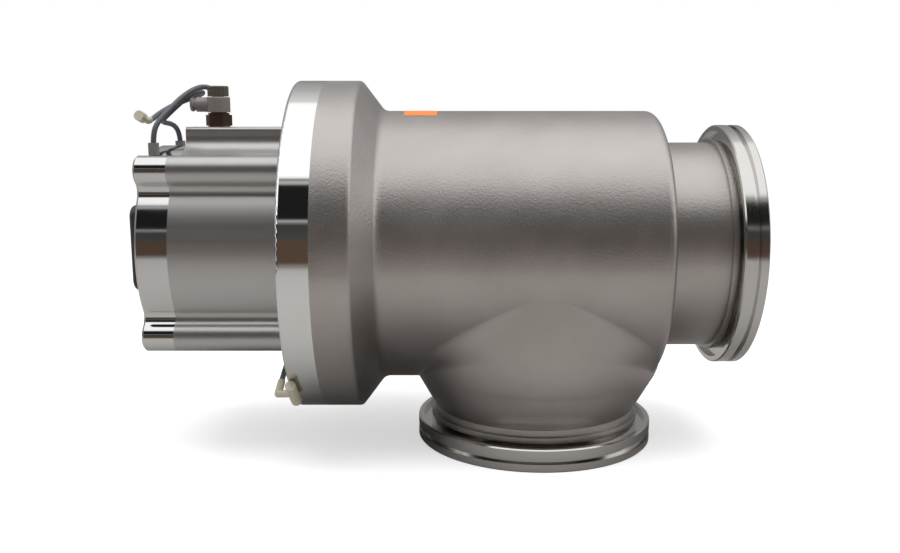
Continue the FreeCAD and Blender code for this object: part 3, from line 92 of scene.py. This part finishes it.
# %% A socket that can be calculated with
class Value:
    """A shader socket in a finish. Operators on it add Math nodes."""

    def __init__(self, finish, socket):
        self.finish = finish
        self.socket = socket

    def sum(self, operation, first, second=None):
        given = (first,) if second is None else (first, second)
        return self.finish.node("Math", {"operation": operation}, *given)

    def __add__(self, other):
        return self.sum("ADD", self, other)

    def __radd__(self, other):
        return self.sum("ADD", other, self)

    def __sub__(self, other):
        return self.sum("SUBTRACT", self, other)

    def __rsub__(self, other):
        return self.sum("SUBTRACT", other, self)

    def __mul__(self, other):
        return self.sum("MULTIPLY", self, other)

    def __rmul__(self, other):
        return self.sum("MULTIPLY", other, self)

    def __truediv__(self, other):
        return self.sum("DIVIDE", self, other)

    def __rtruediv__(self, other):
        return self.sum("DIVIDE", other, self)

    def size(self):
        return self.sum("ABSOLUTE", self)

    def root(self):
        return self.sum("SQRT", self)


# %% A finish: one material and its nodes
class Finish:
    """One material. Fixed settings sit on the shader's own sockets."""

    def __init__(self, name, **fixed):
        self.material = bpy.data.materials.new(name)
        self.material.use_nodes = True
        self.tree = self.material.node_tree
        self.tree.nodes.clear()
        self.shader = self.tree.nodes.new("ShaderNodeBsdfPrincipled")
        end = self.tree.nodes.new("ShaderNodeOutputMaterial")
        self.tree.links.new(self.shader.outputs[0], end.inputs["Surface"])
        self.place = None
        for key, item in fixed.items():
            self.shader.inputs[key.replace("_", " ")].default_value = item

    def feed(self, socket, item):
        """Links a Value to a socket, or writes a plain number or colour."""
        if isinstance(item, Value):
            self.tree.links.new(item.socket, socket)
        elif isinstance(item, tuple) and socket.type == "RGBA":
            socket.default_value = tuple(item)[:3] + (1,)
        else:
            socket.default_value = item

    def node(self, kind, settings=None, *items, result=0, **named):
        """Adds any node: its settings, then its sockets in order or by name."""
        made = self.tree.nodes.new("ShaderNode" + kind)
        for key, item in (settings or {}).items():
            if key == "stops":
                self.fill_ramp(made.color_ramp, item)
            else:
                setattr(made, key, item)
        ready = [socket for socket in made.inputs if socket.enabled]
        for socket, item in zip(ready, items):
            self.feed(socket, item)
        for key, item in named.items():
            name = key.replace("_", " ")
            self.feed(next(s for s in ready if s.name == name), item)
        shown = [socket for socket in made.outputs if socket.enabled]
        return Value(self, shown[result])

    def fill_ramp(self, ramp, stops):
        while len(ramp.elements) < len(stops):
            ramp.elements.new(1)
        for element, (at, tone) in zip(ramp.elements, stops):
            colour = tone if isinstance(tone, tuple) else (tone,) * 3
            element.position = at
            element.color = (*colour, 1)

    def point(self):
        """The piece's own coordinates, in metres, as one vector."""
        if self.place is None:
            self.place = self.node("TexCoord", None, result=3)
        return self.place

    def xyz(self):
        """The three coordinates as three Values."""
        parts = self.node("SeparateXYZ", None, self.point())
        outs = parts.socket.node.outputs
        return [Value(self, out) for out in outs]

    def stretch(self, x, y, z):
        """The coordinates multiplied by three numbers."""
        by = {"operation": "MULTIPLY"}
        return self.node("VectorMath", by, self.point(), (x, y, z))

    def noise(self, scale, detail=2, rough=0.5, vector=None):
        return self.node("TexNoise", None, Vector=vector or self.point(),
                         Scale=scale, Detail=detail, Roughness=rough)

    def ramp(self, item, *stops):
        return self.node("ValToRGB", {"stops": stops}, item)

    def blend(self, share, first, second):
        """A colour between two colours."""
        return self.node("Mix", {"data_type": "RGBA"}, share, first, second)

    def between(self, item, low, high, start=0.0, end=1.0):
        """Maps low..high to start..end and stops at both ends."""
        return self.node("MapRange", {"clamp": True}, item, low, high, start, end)

    def bump(self, height, depth, strength=1.0, below=None):
        """The normal of a relief. depth is in metres for height 1."""
        named = {} if below is None else {"Normal": below}
        return self.node("Bump", None, Height=height, Distance=depth,
                         Strength=strength, **named)

    def use(self, **sockets):
        for key, item in sockets.items():
            self.feed(self.shader.inputs[key.replace("_", " ")], item)
        return self


print("ready to write finishes")


# %% Giving a finish to solids
def dress(finish, *nodes):
    """Every named CAD solid is shown in this finish."""
    for name in nodes:
        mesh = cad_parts[name].data
        mesh.materials.clear()
        mesh.materials.append(finish.material)
    print(finish.material.name, "on", ", ".join(nodes))


# %% [markdown]
# ## The leads
# Two thin round cables come out of the position sensors. They are curves with
# a round section through the same points as the solids, so their real length
# stays known, and their far ends go into the pale plugs.

# %% Routes of the leads
LEAD_WIDTH = 0.0028
FRONT_ROUTE = [
    (-201.1, -24.2, 56.0),
    (-200.8, -24.1, 60.6),
    (-199.8, -22.5, 65.1),
    (-197.6, -19.0, 69.2),
    (-194.1, -14.0, 73.9),
    (-190.7, -8.5, 78.9),
    (-186.8, -2.6, 82.9),
    (-183.2, 3.6, 85.3),
    (-180.4, 10.2, 85.6),
    (-178.4, 16.2, 83.0),
    (-177.4, 20.4, 77.6),
    (-176.9, 22.4, 71.0),
    (-176.0, 23.6, 64.4),
    (-173.0, 25.2, 58.4),
    (-167.0, 27.2, 55.0),
    (-158.5, 29.0, 55.2),
    (-149.5, 32.0, 57.4),
    (-141.5, 37.5, 59.4),
    (-135.8, 45.5, 58.4),
    (-132.6, 53.6, 52.6),
    (-131.9, 59.0, 43.0),
    (-131.8, 61.5, 30.0),
    (-131.9, 62.0, 15.0),
    (-131.7, 62.6, -1.0),
    (-131.8, 61.6, -17.0),
    (-131.9, 59.0, -31.5),
    (-131.8, 54.0, -44.5),
    (-131.8, 45.0, -54.6),
    (-131.9, 32.5, -60.0),
    (-131.8, 18.0, -61.0),
    (-132.0, 3.5, -59.2),
    (-132.2, -10.5, -57.4),
    (-132.6, -23.5, -57.0),
    (-133.2, -35.0, -58.6),
    (-133.4, -43.5, -61.2),
    (-133.5, -51.0, -64.2),
]
REAR_ROUTE = [
    (-201.1, 24.2, 56.0),
    (-201.3, 23.6, 60.0),
    (-201.9, 20.4, 63.6),
    (-202.6, 15.0, 65.4),
    (-203.2, 8.6, 66.0),
    (-203.2, 2.0, 66.4),
    (-202.0, -4.2, 67.2),
    (-199.2, -8.8, 69.0),
    (-195.6, -9.8, 72.0),
    (-192.4, -7.0, 75.6),
    (-189.8, -1.8, 79.0),
    (-187.6, 4.8, 81.8),
    (-186.0, 12.0, 83.0),
    (-185.6, 19.4, 83.0),
    (-188.0, 26.2, 82.2),
    (-193.8, 29.6, 80.4),
    (-199.8, 28.0, 78.0),
    (-204.2, 22.6, 75.6),
    (-206.4, 15.4, 73.2),
    (-207.4, 7.8, 71.0),
    (-207.4, 0.2, 69.2),
    (-206.6, -6.8, 68.0),
    (-206.2, -12.6, 67.6),
]
print("route points:", len(FRONT_ROUTE), "and", len(REAR_ROUTE))


# %% Curves for the leads
STEPS_ALONG = 8
STEPS_ROUND = 4
LENGTH_SAMPLES = 33


def on_frame(spot):
    """A route's point, in millimetres from the crossing of the axes, in the frame."""
    return (spot[0] * MM, spot[1] * MM, spot[2] * MM + AXIS_HEIGHT)


def lead_curve(name, route, width):
    """A round cable along a smooth curve that is drawn by the route's points. The
    section is a circle of radius 1, and every point shrinks it to half the width."""
    spots = [(*on_frame(spot), 1) for spot in route]
    data = bpy.data.curves.new(name, "CURVE")
    data.dimensions = "3D"
    spline = data.splines.new("NURBS")
    spline.points.add(len(spots) - 1)
    spline.points.foreach_set("co", np.array(spots, dtype=np.float32).ravel())
    spline.points.foreach_set("radius", np.full(len(spots), width / 2, dtype=np.float32))
    spline.order_u = 3
    spline.use_endpoint_u = True
    data.resolution_u = STEPS_ALONG
    data.bevel_depth = 1.0
    data.bevel_resolution = STEPS_ROUND
    data.use_fill_caps = True
    curve = bpy.data.objects.new(name, data)
    bpy.context.scene.collection.objects.link(curve)
    return curve


def curve_length(route):
    """Length of the smooth curve: a parabola at every inner point of the route,
    from the middle of one run to the middle of the next."""
    corners = np.array(route, dtype=float) * MM
    middles = (corners[1:] + corners[:-1]) / 2
    starts = np.array([corners[0], *middles[1:-1]])
    ends = np.array([*middles[1:-1], corners[-1]])
    share = np.linspace(0, 1, LENGTH_SAMPLES)[:, None, None]
    turns = corners[1:-1]
    path = (1 - share) ** 2 * starts + 2 * share * (1 - share) * turns + share ** 2 * ends
    return float(np.linalg.norm(np.diff(path, axis=0), axis=2).sum())


def add_lead(name, route, node):
    """The cable of one sensor in place of its CAD lead, with its real length printed."""
    cable = lead_curve(name, route, LEAD_WIDTH)
    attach(cable, "housing")
    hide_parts(node)
    length = curve_length(route)
    print(name, "is", round(length * 1000), "mm long")
    return cable


front_cable = add_lead("front_lead_cable", FRONT_ROUTE, "sensor_front_lead")
rear_cable = add_lead("rear_lead_cable", REAR_ROUTE, "sensor_rear_lead")

# %% [markdown]
# ## The studio
# Polished metal shows nothing but what stands around it. The photograph was
# taken under a wide soft lamp, with a dark room behind the camera and a pale
# table below, and all of them can be read as bands on the bonnet plate's edge.
# The world repeats them as a ramp over the angle in which light arrives: 0 is
# level towards the camera and 90 is straight up.

# %% Light that arrives from all around
WARM = (0.075, 0.048, 0.034)
BANDS = (
    (-180, 0.14), (-150, 0.30), (-120, 0.36), (-90, 0.36), (-20, 0.34), (-10, 0.30), (-8.5, WARM),
    (9, WARM), (11, 0.05), (20.9, 0.035), (21.5, 0.34), (23.3, 0.34), (23.9, 0.010),
    (47, 0.010), (48, 0.40), (50.2, 0.42), (50.7, 0.04), (51.6, 0.04), (52.2, 0.98),
    (75, 1.0), (110, 0.98), (118, 0.94), (121, 0.60), (140, 0.36), (180, 0.14),
)
# Two thin upright lamps: each has its bearing in degrees and how brightly it glows.
LINES = ((-15, 1.6), (17, 1.6))
LINE_INNER, LINE_OUTER = 0.008, 0.014
LINE_DROP = 0.16
LEVEL_INNER, LEVEL_OUTER = 0.03, 0.06
GLOW = 1.3


class Board(Finish):
    """The nodes of the world, written in the same way as a finish."""

    def __init__(self, name):
        self.world = bpy.data.worlds.new(name)
        self.world.use_nodes = True
        self.tree = self.world.node_tree
        self.tree.nodes.clear()
        self.place = self.node("TexCoord", None, result=0)


def add_studio_world():
    """Bands of light over the angle for what the metal mirrors, plain white for the camera."""
    board = Board("studio")
    x, y, z = board.xyz()
    angle = z.sum("ARCTAN2", z, 0 - y)
    stops = [((degrees + 180) / 360, tone) for degrees, tone in BANDS]
    tones = board.ramp(angle / math.tau + 0.5, *stops)
    bearing = x.sum("ARCTAN2", x, 0 - y)
    level = board.between((z + LINE_DROP).size(), LEVEL_INNER, LEVEL_OUTER, 1.0, 0.0)
    for centre, glow in LINES:
        beside = (bearing - math.radians(centre)).size()
        line = board.between(beside, LINE_INNER, LINE_OUTER, 1.0, 0.0)
        tones = board.blend(line * level, tones, (glow, glow, glow))
    around = board.node("Background", None, Color=tones, Strength=GLOW)
    behind = board.node("Background", None, Color=(1, 1, 1), Strength=1.0)
    seen = board.node("LightPath", None, result=0)
    both = board.node("MixShader", None, seen, around, behind)
    end = board.tree.nodes.new("ShaderNodeOutputWorld")
    board.tree.links.new(both.socket, end.inputs["Surface"])
    bpy.context.scene.world = board.world
    bpy.context.scene.view_settings.view_transform = "Standard"


add_studio_world()
print("bands in the world:", len(BANDS))

# %% [markdown]
# ## The floor
# The valve stands on its side port. The floor is a pale disc that fades out at
# its rim, so that no horizon line crosses the picture.


# %% Pale floor
FLOOR_RADIUS = 1.6
RIM_POINTS = 96
FADE_FROM, FADE_TO = 0.30, 1.4
FLOOR_TONE, MIRRORED_TONE = (0.60, 0.60, 0.60), (0.36, 0.35, 0.34)
FLOOR_GLOW = (0.58, 0.58, 0.58)


def add_floor(radius):
    """A flat disc at z = 0 with one ring of faces: x = r cos t, y = r sin t."""
    turn = np.linspace(0, math.tau, RIM_POINTS, endpoint=False)
    rim = np.stack([radius * np.cos(turn), radius * np.sin(turn), 0 * turn], axis=1)
    mesh = bpy.data.meshes.new("floor")
    mesh.from_pydata(rim.tolist(), [], [list(range(RIM_POINTS))])
    floor = bpy.data.objects.new("floor", mesh)
    bpy.context.scene.collection.objects.link(floor)
    return floor


floor = add_floor(FLOOR_RADIUS)
pale = Finish("pale_floor", Roughness=0.8, Specular_IOR_Level=0.0)
x, y, z = pale.xyz()
away = (x * x + y * y).root()
mirrored = pale.node("LightPath", None, result=3)
tone = pale.blend(mirrored, FLOOR_TONE, MIRRORED_TONE)
seen = pale.node("LightPath", None, result=0)
pale.use(Base_Color=tone, Alpha=pale.between(away, FADE_FROM, FADE_TO, 1.0, 0.0),
         Emission_Color=pale.blend(seen, (0, 0, 0), FLOOR_GLOW))
pale.shader.inputs["Emission Strength"].default_value = 1.0
floor.data.materials.append(pale.material)
print("floor radius:", FLOOR_RADIUS)


# %% One soft lamp above the table
LAMP_SIDES = (1.6, 1.0)
LAMP_POWER = 16
LAMP_SPOT = (-0.1, -0.25, 1.3)
LAMP_TILT = math.radians(-12)


def add_lamp():
    """A wide lamp over the valve that lights it without showing in the metal."""
    data = bpy.data.lights.new("soft_lamp", "AREA")
    data.shape = "RECTANGLE"
    data.size, data.size_y = LAMP_SIDES
    data.energy = LAMP_POWER
    lamp = bpy.data.objects.new("soft_lamp", data)
    lamp.location = LAMP_SPOT
    lamp.rotation_euler = (LAMP_TILT, 0, 0)
    lamp.visible_glossy = False
    bpy.context.scene.collection.objects.link(lamp)
    return lamp


lamp = add_lamp()
print("lamp power:", lamp.data.energy)

# %% [markdown]
# ## Cast and blasted steel
# The body was cast and then blasted with fine beads, which leaves a soft warm
# grey with a faint grain. Both port flanges were turned afterwards: they are
# brighter, and they carry fine rings from the tool.


# %% Finish of the valve's body
# Where the casting ends and the turned flanges begin, along x and over the floor.
TURNED_FROM, TURNED_FULL = 0.0951, 0.0957
LOW_FROM, LOW_FULL = 0.0129, 0.0123
DRAFT_TOP, DRAFT_FOOT, DRAFT_FALL = 0.105, 0.038, -0.0118


def turned_rings(finish, along, depth, below=None):
    """Fine tool marks: a noise that changes along one coordinate only."""
    line = finish.node("CombineXYZ", None, along, 0.0, 0.0)
    marks = finish.noise(1500, 3, 0.6, line)
    return finish.bump(marks, depth, 1.0, below)


def casting_draft(finish, height, machined):
    """The walls of a casting lean a little so that it leaves its mould. From the axis
    down, the relief falls by 12 mm along a curve that is level at both ends."""
    plain = finish.node("NewGeometry", None, result=1)
    soft = {"interpolation_type": "SMOOTHSTEP"}
    relief = finish.node("MapRange", soft, height, DRAFT_TOP, DRAFT_FOOT, 0.0, DRAFT_FALL)
    leaning = finish.bump(relief, 1.0)
    return finish.node("Mix", {"data_type": "VECTOR"}, machined, leaning, plain)


def body_finish():
    steel = Finish("cast_steel", Metallic=1.0, Specular_IOR_Level=0.5)
    x, y, z = steel.xyz()
    turned = steel.between(x, TURNED_FROM, TURNED_FULL)
    low = steel.between(z, LOW_FROM, LOW_FULL)
    machined = steel.node("Math", {"operation": "MAXIMUM"}, turned, low)
    grain = steel.noise(950, 2, 0.55)
    cloud = steel.noise(30, 3, 0.55)
    tone = steel.between(cloud, 0.3, 0.7, 0.0, 1.0)
    blasted = steel.blend(tone, (0.47, 0.440, 0.420), (0.54, 0.505, 0.485))
    colour = steel.blend(machined, blasted, (0.61, 0.595, 0.575))
    rough = 0.35 + cloud * 0.10 - machined * 0.26
    blast = steel.bump(grain * (1 - machined), 0.00011, 1.0, casting_draft(steel, z, machined))
    rings = turned_rings(steel, x + z, 0.000001, blast)
    return steel.use(Base_Color=colour, Roughness=rough, Normal=rings)


dress(body_finish(), "valve_body")

# %% [markdown]
# ## Turned plate, drawn tube and polished cap
# The bonnet plate was turned, so its marks run round the main axis. The tube
# was drawn through a die and then made matte, so its marks run along the axis.
# The cap was ground and polished, with a few deeper lines near its joints.


# %% Finishes of the actuator
def plate_finish():
    plate = Finish("turned_plate", Metallic=1.0)
    x, y, z = plate.xyz()
    cloud = plate.noise(18, 2, 0.5)
    rings = turned_rings(plate, x, 0.0000004)
    return plate.use(Base_Color=(0.80, 0.80, 0.785), Roughness=0.03 + cloud * 0.06, Normal=rings)


def tube_finish():
    tube = Finish("satin_tube", Metallic=1.0)
    streaks = tube.noise(420, 3, 0.6, tube.stretch(0.01, 1, 1))
    bands = tube.noise(70, 2, 0.5, tube.stretch(0.02, 1, 1))
    tone = tube.blend(bands, (0.49, 0.48, 0.47), (0.59, 0.575, 0.565))
    relief = tube.bump(streaks, 0.000006, 1.0)
    return tube.use(Base_Color=tone, Roughness=0.33 + streaks * 0.10, Normal=relief)


def cap_finish():
    cap = Finish("polished_cap", Metallic=1.0)
    x, y, z = cap.xyz()
    marks = turned_rings(cap, x, 0.000001)
    cloud = cap.noise(60, 3, 0.6)
    return cap.use(Base_Color=(0.68, 0.675, 0.67), Roughness=0.05 + cloud * 0.09, Normal=marks)


dress(plate_finish(), "bonnet_plate")
dress(tube_finish(), "cylinder_tube")
dress(cap_finish(), "end_cap")


# %% [markdown]
# ## Plain metals and plastics
# The remaining pieces need one finish each: a colour, how rough it is, and a
# faint unevenness so that no surface is perfect.


# %% Simple finishes
def simple_metal(name, colour, rough, scale=300, depth=0.000004):
    metal = Finish(name, Metallic=1.0)
    grain = metal.noise(scale, 3, 0.6)
    spread = metal.between(grain, 0.3, 0.7, rough * 0.8, rough * 1.25)
    return metal.use(Base_Color=colour, Roughness=spread, Normal=metal.bump(grain, depth))


def simple_plastic(name, colour, rough, grain_scale=1800, depth=0.00002):
    plastic = Finish(name, Metallic=0.0, IOR=1.5)
    grain = plastic.noise(grain_scale, 2, 0.5)
    cloud = plastic.noise(90, 2, 0.5)
    darker = tuple(0.82 * part for part in colour)
    tone = plastic.blend(cloud, darker, colour)
    spread = plastic.between(grain, 0.3, 0.7, rough * 0.9, rough * 1.1)
    return plastic.use(Base_Color=tone, Roughness=spread, Normal=plastic.bump(grain, depth))


dress(simple_metal("ground_steel", (0.62, 0.61, 0.60), 0.22),
      "actuator_rod", "piston_nut", "valve_disc", "bellows_end_ring", "bellows_collar",
      "seal_retainer", "needle", "tube_collet")
dress(simple_metal("bellows_steel", (0.60, 0.58, 0.55), 0.26), "bellows")
dress(simple_metal("spring_steel", (0.32, 0.32, 0.33), 0.30), "return_spring")
dress(simple_metal("screw_steel", (0.45, 0.45, 0.45), 0.30),
      "bonnet_screws", "cap_screws", "cover_screws", "disc_screw")
dress(simple_metal("piston_metal", (0.66, 0.66, 0.67), 0.34), "piston")
dress(simple_metal("sintered_bronze", (0.60, 0.43, 0.22), 0.42), "rod_bush")
dress(simple_metal("dark_stud", (0.14, 0.095, 0.07), 0.36), "fitting_stud")
dress(simple_plastic("seal_rubber", (0.03, 0.03, 0.03), 0.55),
      "bonnet_seal", "tube_seal", "cap_seal", "rod_seal", "piston_seal", "disc_seal",
      "socket_seal")
dress(simple_plastic("magnet_black", (0.06, 0.06, 0.065), 0.40), "magnet_ring")
dress(simple_plastic("black_cover", (0.028, 0.028, 0.030), 0.42), "end_cover")
dress(simple_plastic("grey_elbow", (0.26, 0.235, 0.22), 0.40), "fitting_elbow")
dress(simple_plastic("grey_release", (0.30, 0.275, 0.26), 0.38), "release_ring")
dress(simple_plastic("olive_knob", (0.115, 0.11, 0.085), 0.40), "adjusting_knob")
dress(simple_plastic("sensor_grey", (0.24, 0.235, 0.23), 0.40), "sensor_front", "sensor_rear")
dress(simple_plastic("pale_nylon", (0.56, 0.52, 0.40), 0.36),
      "connector_lower", "connector_upper", "wear_ring", "stud_gasket")
jacket = simple_plastic("lead_jacket", (0.10, 0.105, 0.12), 0.42)
for cable in (front_cable, rear_cable):
    cable.data.materials.append(jacket.material)
print("lead jackets:", 2)

# %% [markdown]
# ## Where the body runs into the lower neck
# The casting has a soft hollow where its round chamber meets the neck. In the
# solids both forms simply cross. A thin skin lies over that crease on each side:
# it follows the larger of the two forms, and where they are nearly equal it
# swells a little, which rounds the crease. It is an open sheet: where the swelling
# ends it lies just under the solids, and it is cut off there.


# %% Soft hollow over the crease
CHAMBER = 72.5
DROPS = (0, 35, 61.6, 70)
NECK_ALONG = (62, 64.6, 69.2, 66.6)
NECK_ACROSS = (72.1, 72.1, 70.89, 66.6)
SOFTNESS = 22
SUNK = 0.05
SPREAD = 0.95
LOWEST, FADE_HEIGHT = 69.5, 30
X_SPAN, X_POINTS = (-80, 60), 161
DROP_SPAN, DROP_POINTS = (1, LOWEST), 101
LEAST_SOFT, LEAST_SWELL = 0.01, 0.02


def hollow_skin(name, side):
    """A sheet over x and the drop d below the main axis, both in millimetres.
    The chamber reaches root(R R - d d) sideways. The neck is an ellipse with the half
    lengths a(d) and b(d), and reaches b root(1 - x x / a a). With h = the share by
    which both are closer than the softness k, the sheet lies at the larger reach
    plus k h h / 4. k grows with the distance between both forms at x = 0, so that
    the middle of the neck keeps its line, and fades out at the lowest edge."""
    x, drop = np.meshgrid(np.linspace(*X_SPAN, X_POINTS), np.linspace(*DROP_SPAN, DROP_POINTS))
    along = np.polyval(np.polyfit(DROPS, NECK_ALONG, 3), drop)
    across = np.polyval(np.polyfit(DROPS, NECK_ACROSS, 3), drop)
    chamber = np.sqrt(CHAMBER ** 2 - drop ** 2)
    neck = across * np.sqrt(np.clip(1 - (x / along) ** 2, 0, 1))
    fade = np.clip((LOWEST - drop) / FADE_HEIGHT, 0, 1)
    fade = fade * fade * (3 - 2 * fade)
    soft = np.clip(SPREAD * (across - chamber), 0, SOFTNESS) * fade + LEAST_SOFT
    near = np.clip(1 - np.abs(chamber - neck) / soft, 0, 1)
    reach = np.maximum(chamber, neck) + soft * near * near / 4 - SUNK
    spots = np.stack([x * MM, side * reach * MM, AXIS_HEIGHT - drop * MM], axis=2)
    number = np.arange(x.size).reshape(x.shape)
    corners = [number[:-1, :-1], number[1:, :-1], number[1:, 1:], number[:-1, 1:]]
    faces = np.stack(corners[::-side], axis=2).reshape(-1, 4)
    swell = (soft * near * near / 4).ravel()
    faces = faces[swell[faces].max(axis=1) > LEAST_SWELL]
    used, faces = np.unique(faces, return_inverse=True)
    mesh = bpy.data.meshes.new(name)
    mesh.from_pydata(spots.reshape(-1, 3)[used].tolist(), [], faces.reshape(-1, 4).tolist())
    mesh.shade_smooth()
    skin = bpy.data.objects.new(name, mesh)
    bpy.context.scene.collection.objects.link(skin)
    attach(skin, "housing")
    skin.data.materials.append(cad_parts["valve_body"].data.materials[0])
    return skin


skins = [hollow_skin("hollow_front", -1), hollow_skin("hollow_back", 1)]
print("faces in a skin:", len(skins[0].data.polygons))

# %% [markdown]
# ## The sticker
# A bare orange strip lies on top of the body, bent round the same cylinder.


# %% Orange strip
STRIP_ENDS = (-0.0715, -0.0542)
STRIP_TURNS = (math.radians(-15.5), math.radians(24))
STRIP_RADII = (0.0725, 0.0726)
STRIP_STEPS = 33


def strip_mesh(name, start, end, low, high, inner, outer, steps):
    """A closed thin shell on a cylinder about the main axis. x runs from start to
    end, and the angle t from low to high, with y = r sin t and z = axis height
    + r cos t, for r = outer and for r = inner. The four sides join both faces."""
    turn = np.linspace(low, high, steps)
    rows = [(start, inner), (start, outer), (end, outer), (end, inner)]
    place, reach = np.array(rows).T
    ring = np.stack([np.broadcast_to(place, (steps, len(rows))), np.outer(np.sin(turn), reach),
                     AXIS_HEIGHT + np.outer(np.cos(turn), reach)], axis=2)
    number = np.arange(steps * 4).reshape(steps, 4)
    after = np.roll(number, -1, axis=1)
    sides = np.stack([number[:-1], number[1:], after[1:], after[:-1]], axis=2).reshape(-1, 4)
    caps = np.array([number[0], number[-1][::-1]])
    mesh = bpy.data.meshes.new(name)
    mesh.from_pydata(ring.reshape(-1, 3).tolist(), [], np.concatenate([sides, caps]).tolist())
    strip = bpy.data.objects.new(name, mesh)
    bpy.context.scene.collection.objects.link(strip)
    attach(strip, "housing")
    return strip


strip = strip_mesh("orange_strip", *STRIP_ENDS, *STRIP_TURNS, *STRIP_RADII, STRIP_STEPS)
orange = simple_plastic("orange_paper", (0.86, 0.22, 0.04), 0.45)
strip.data.materials.append(orange.material)
print("faces in the strip:", len(strip.data.polygons))
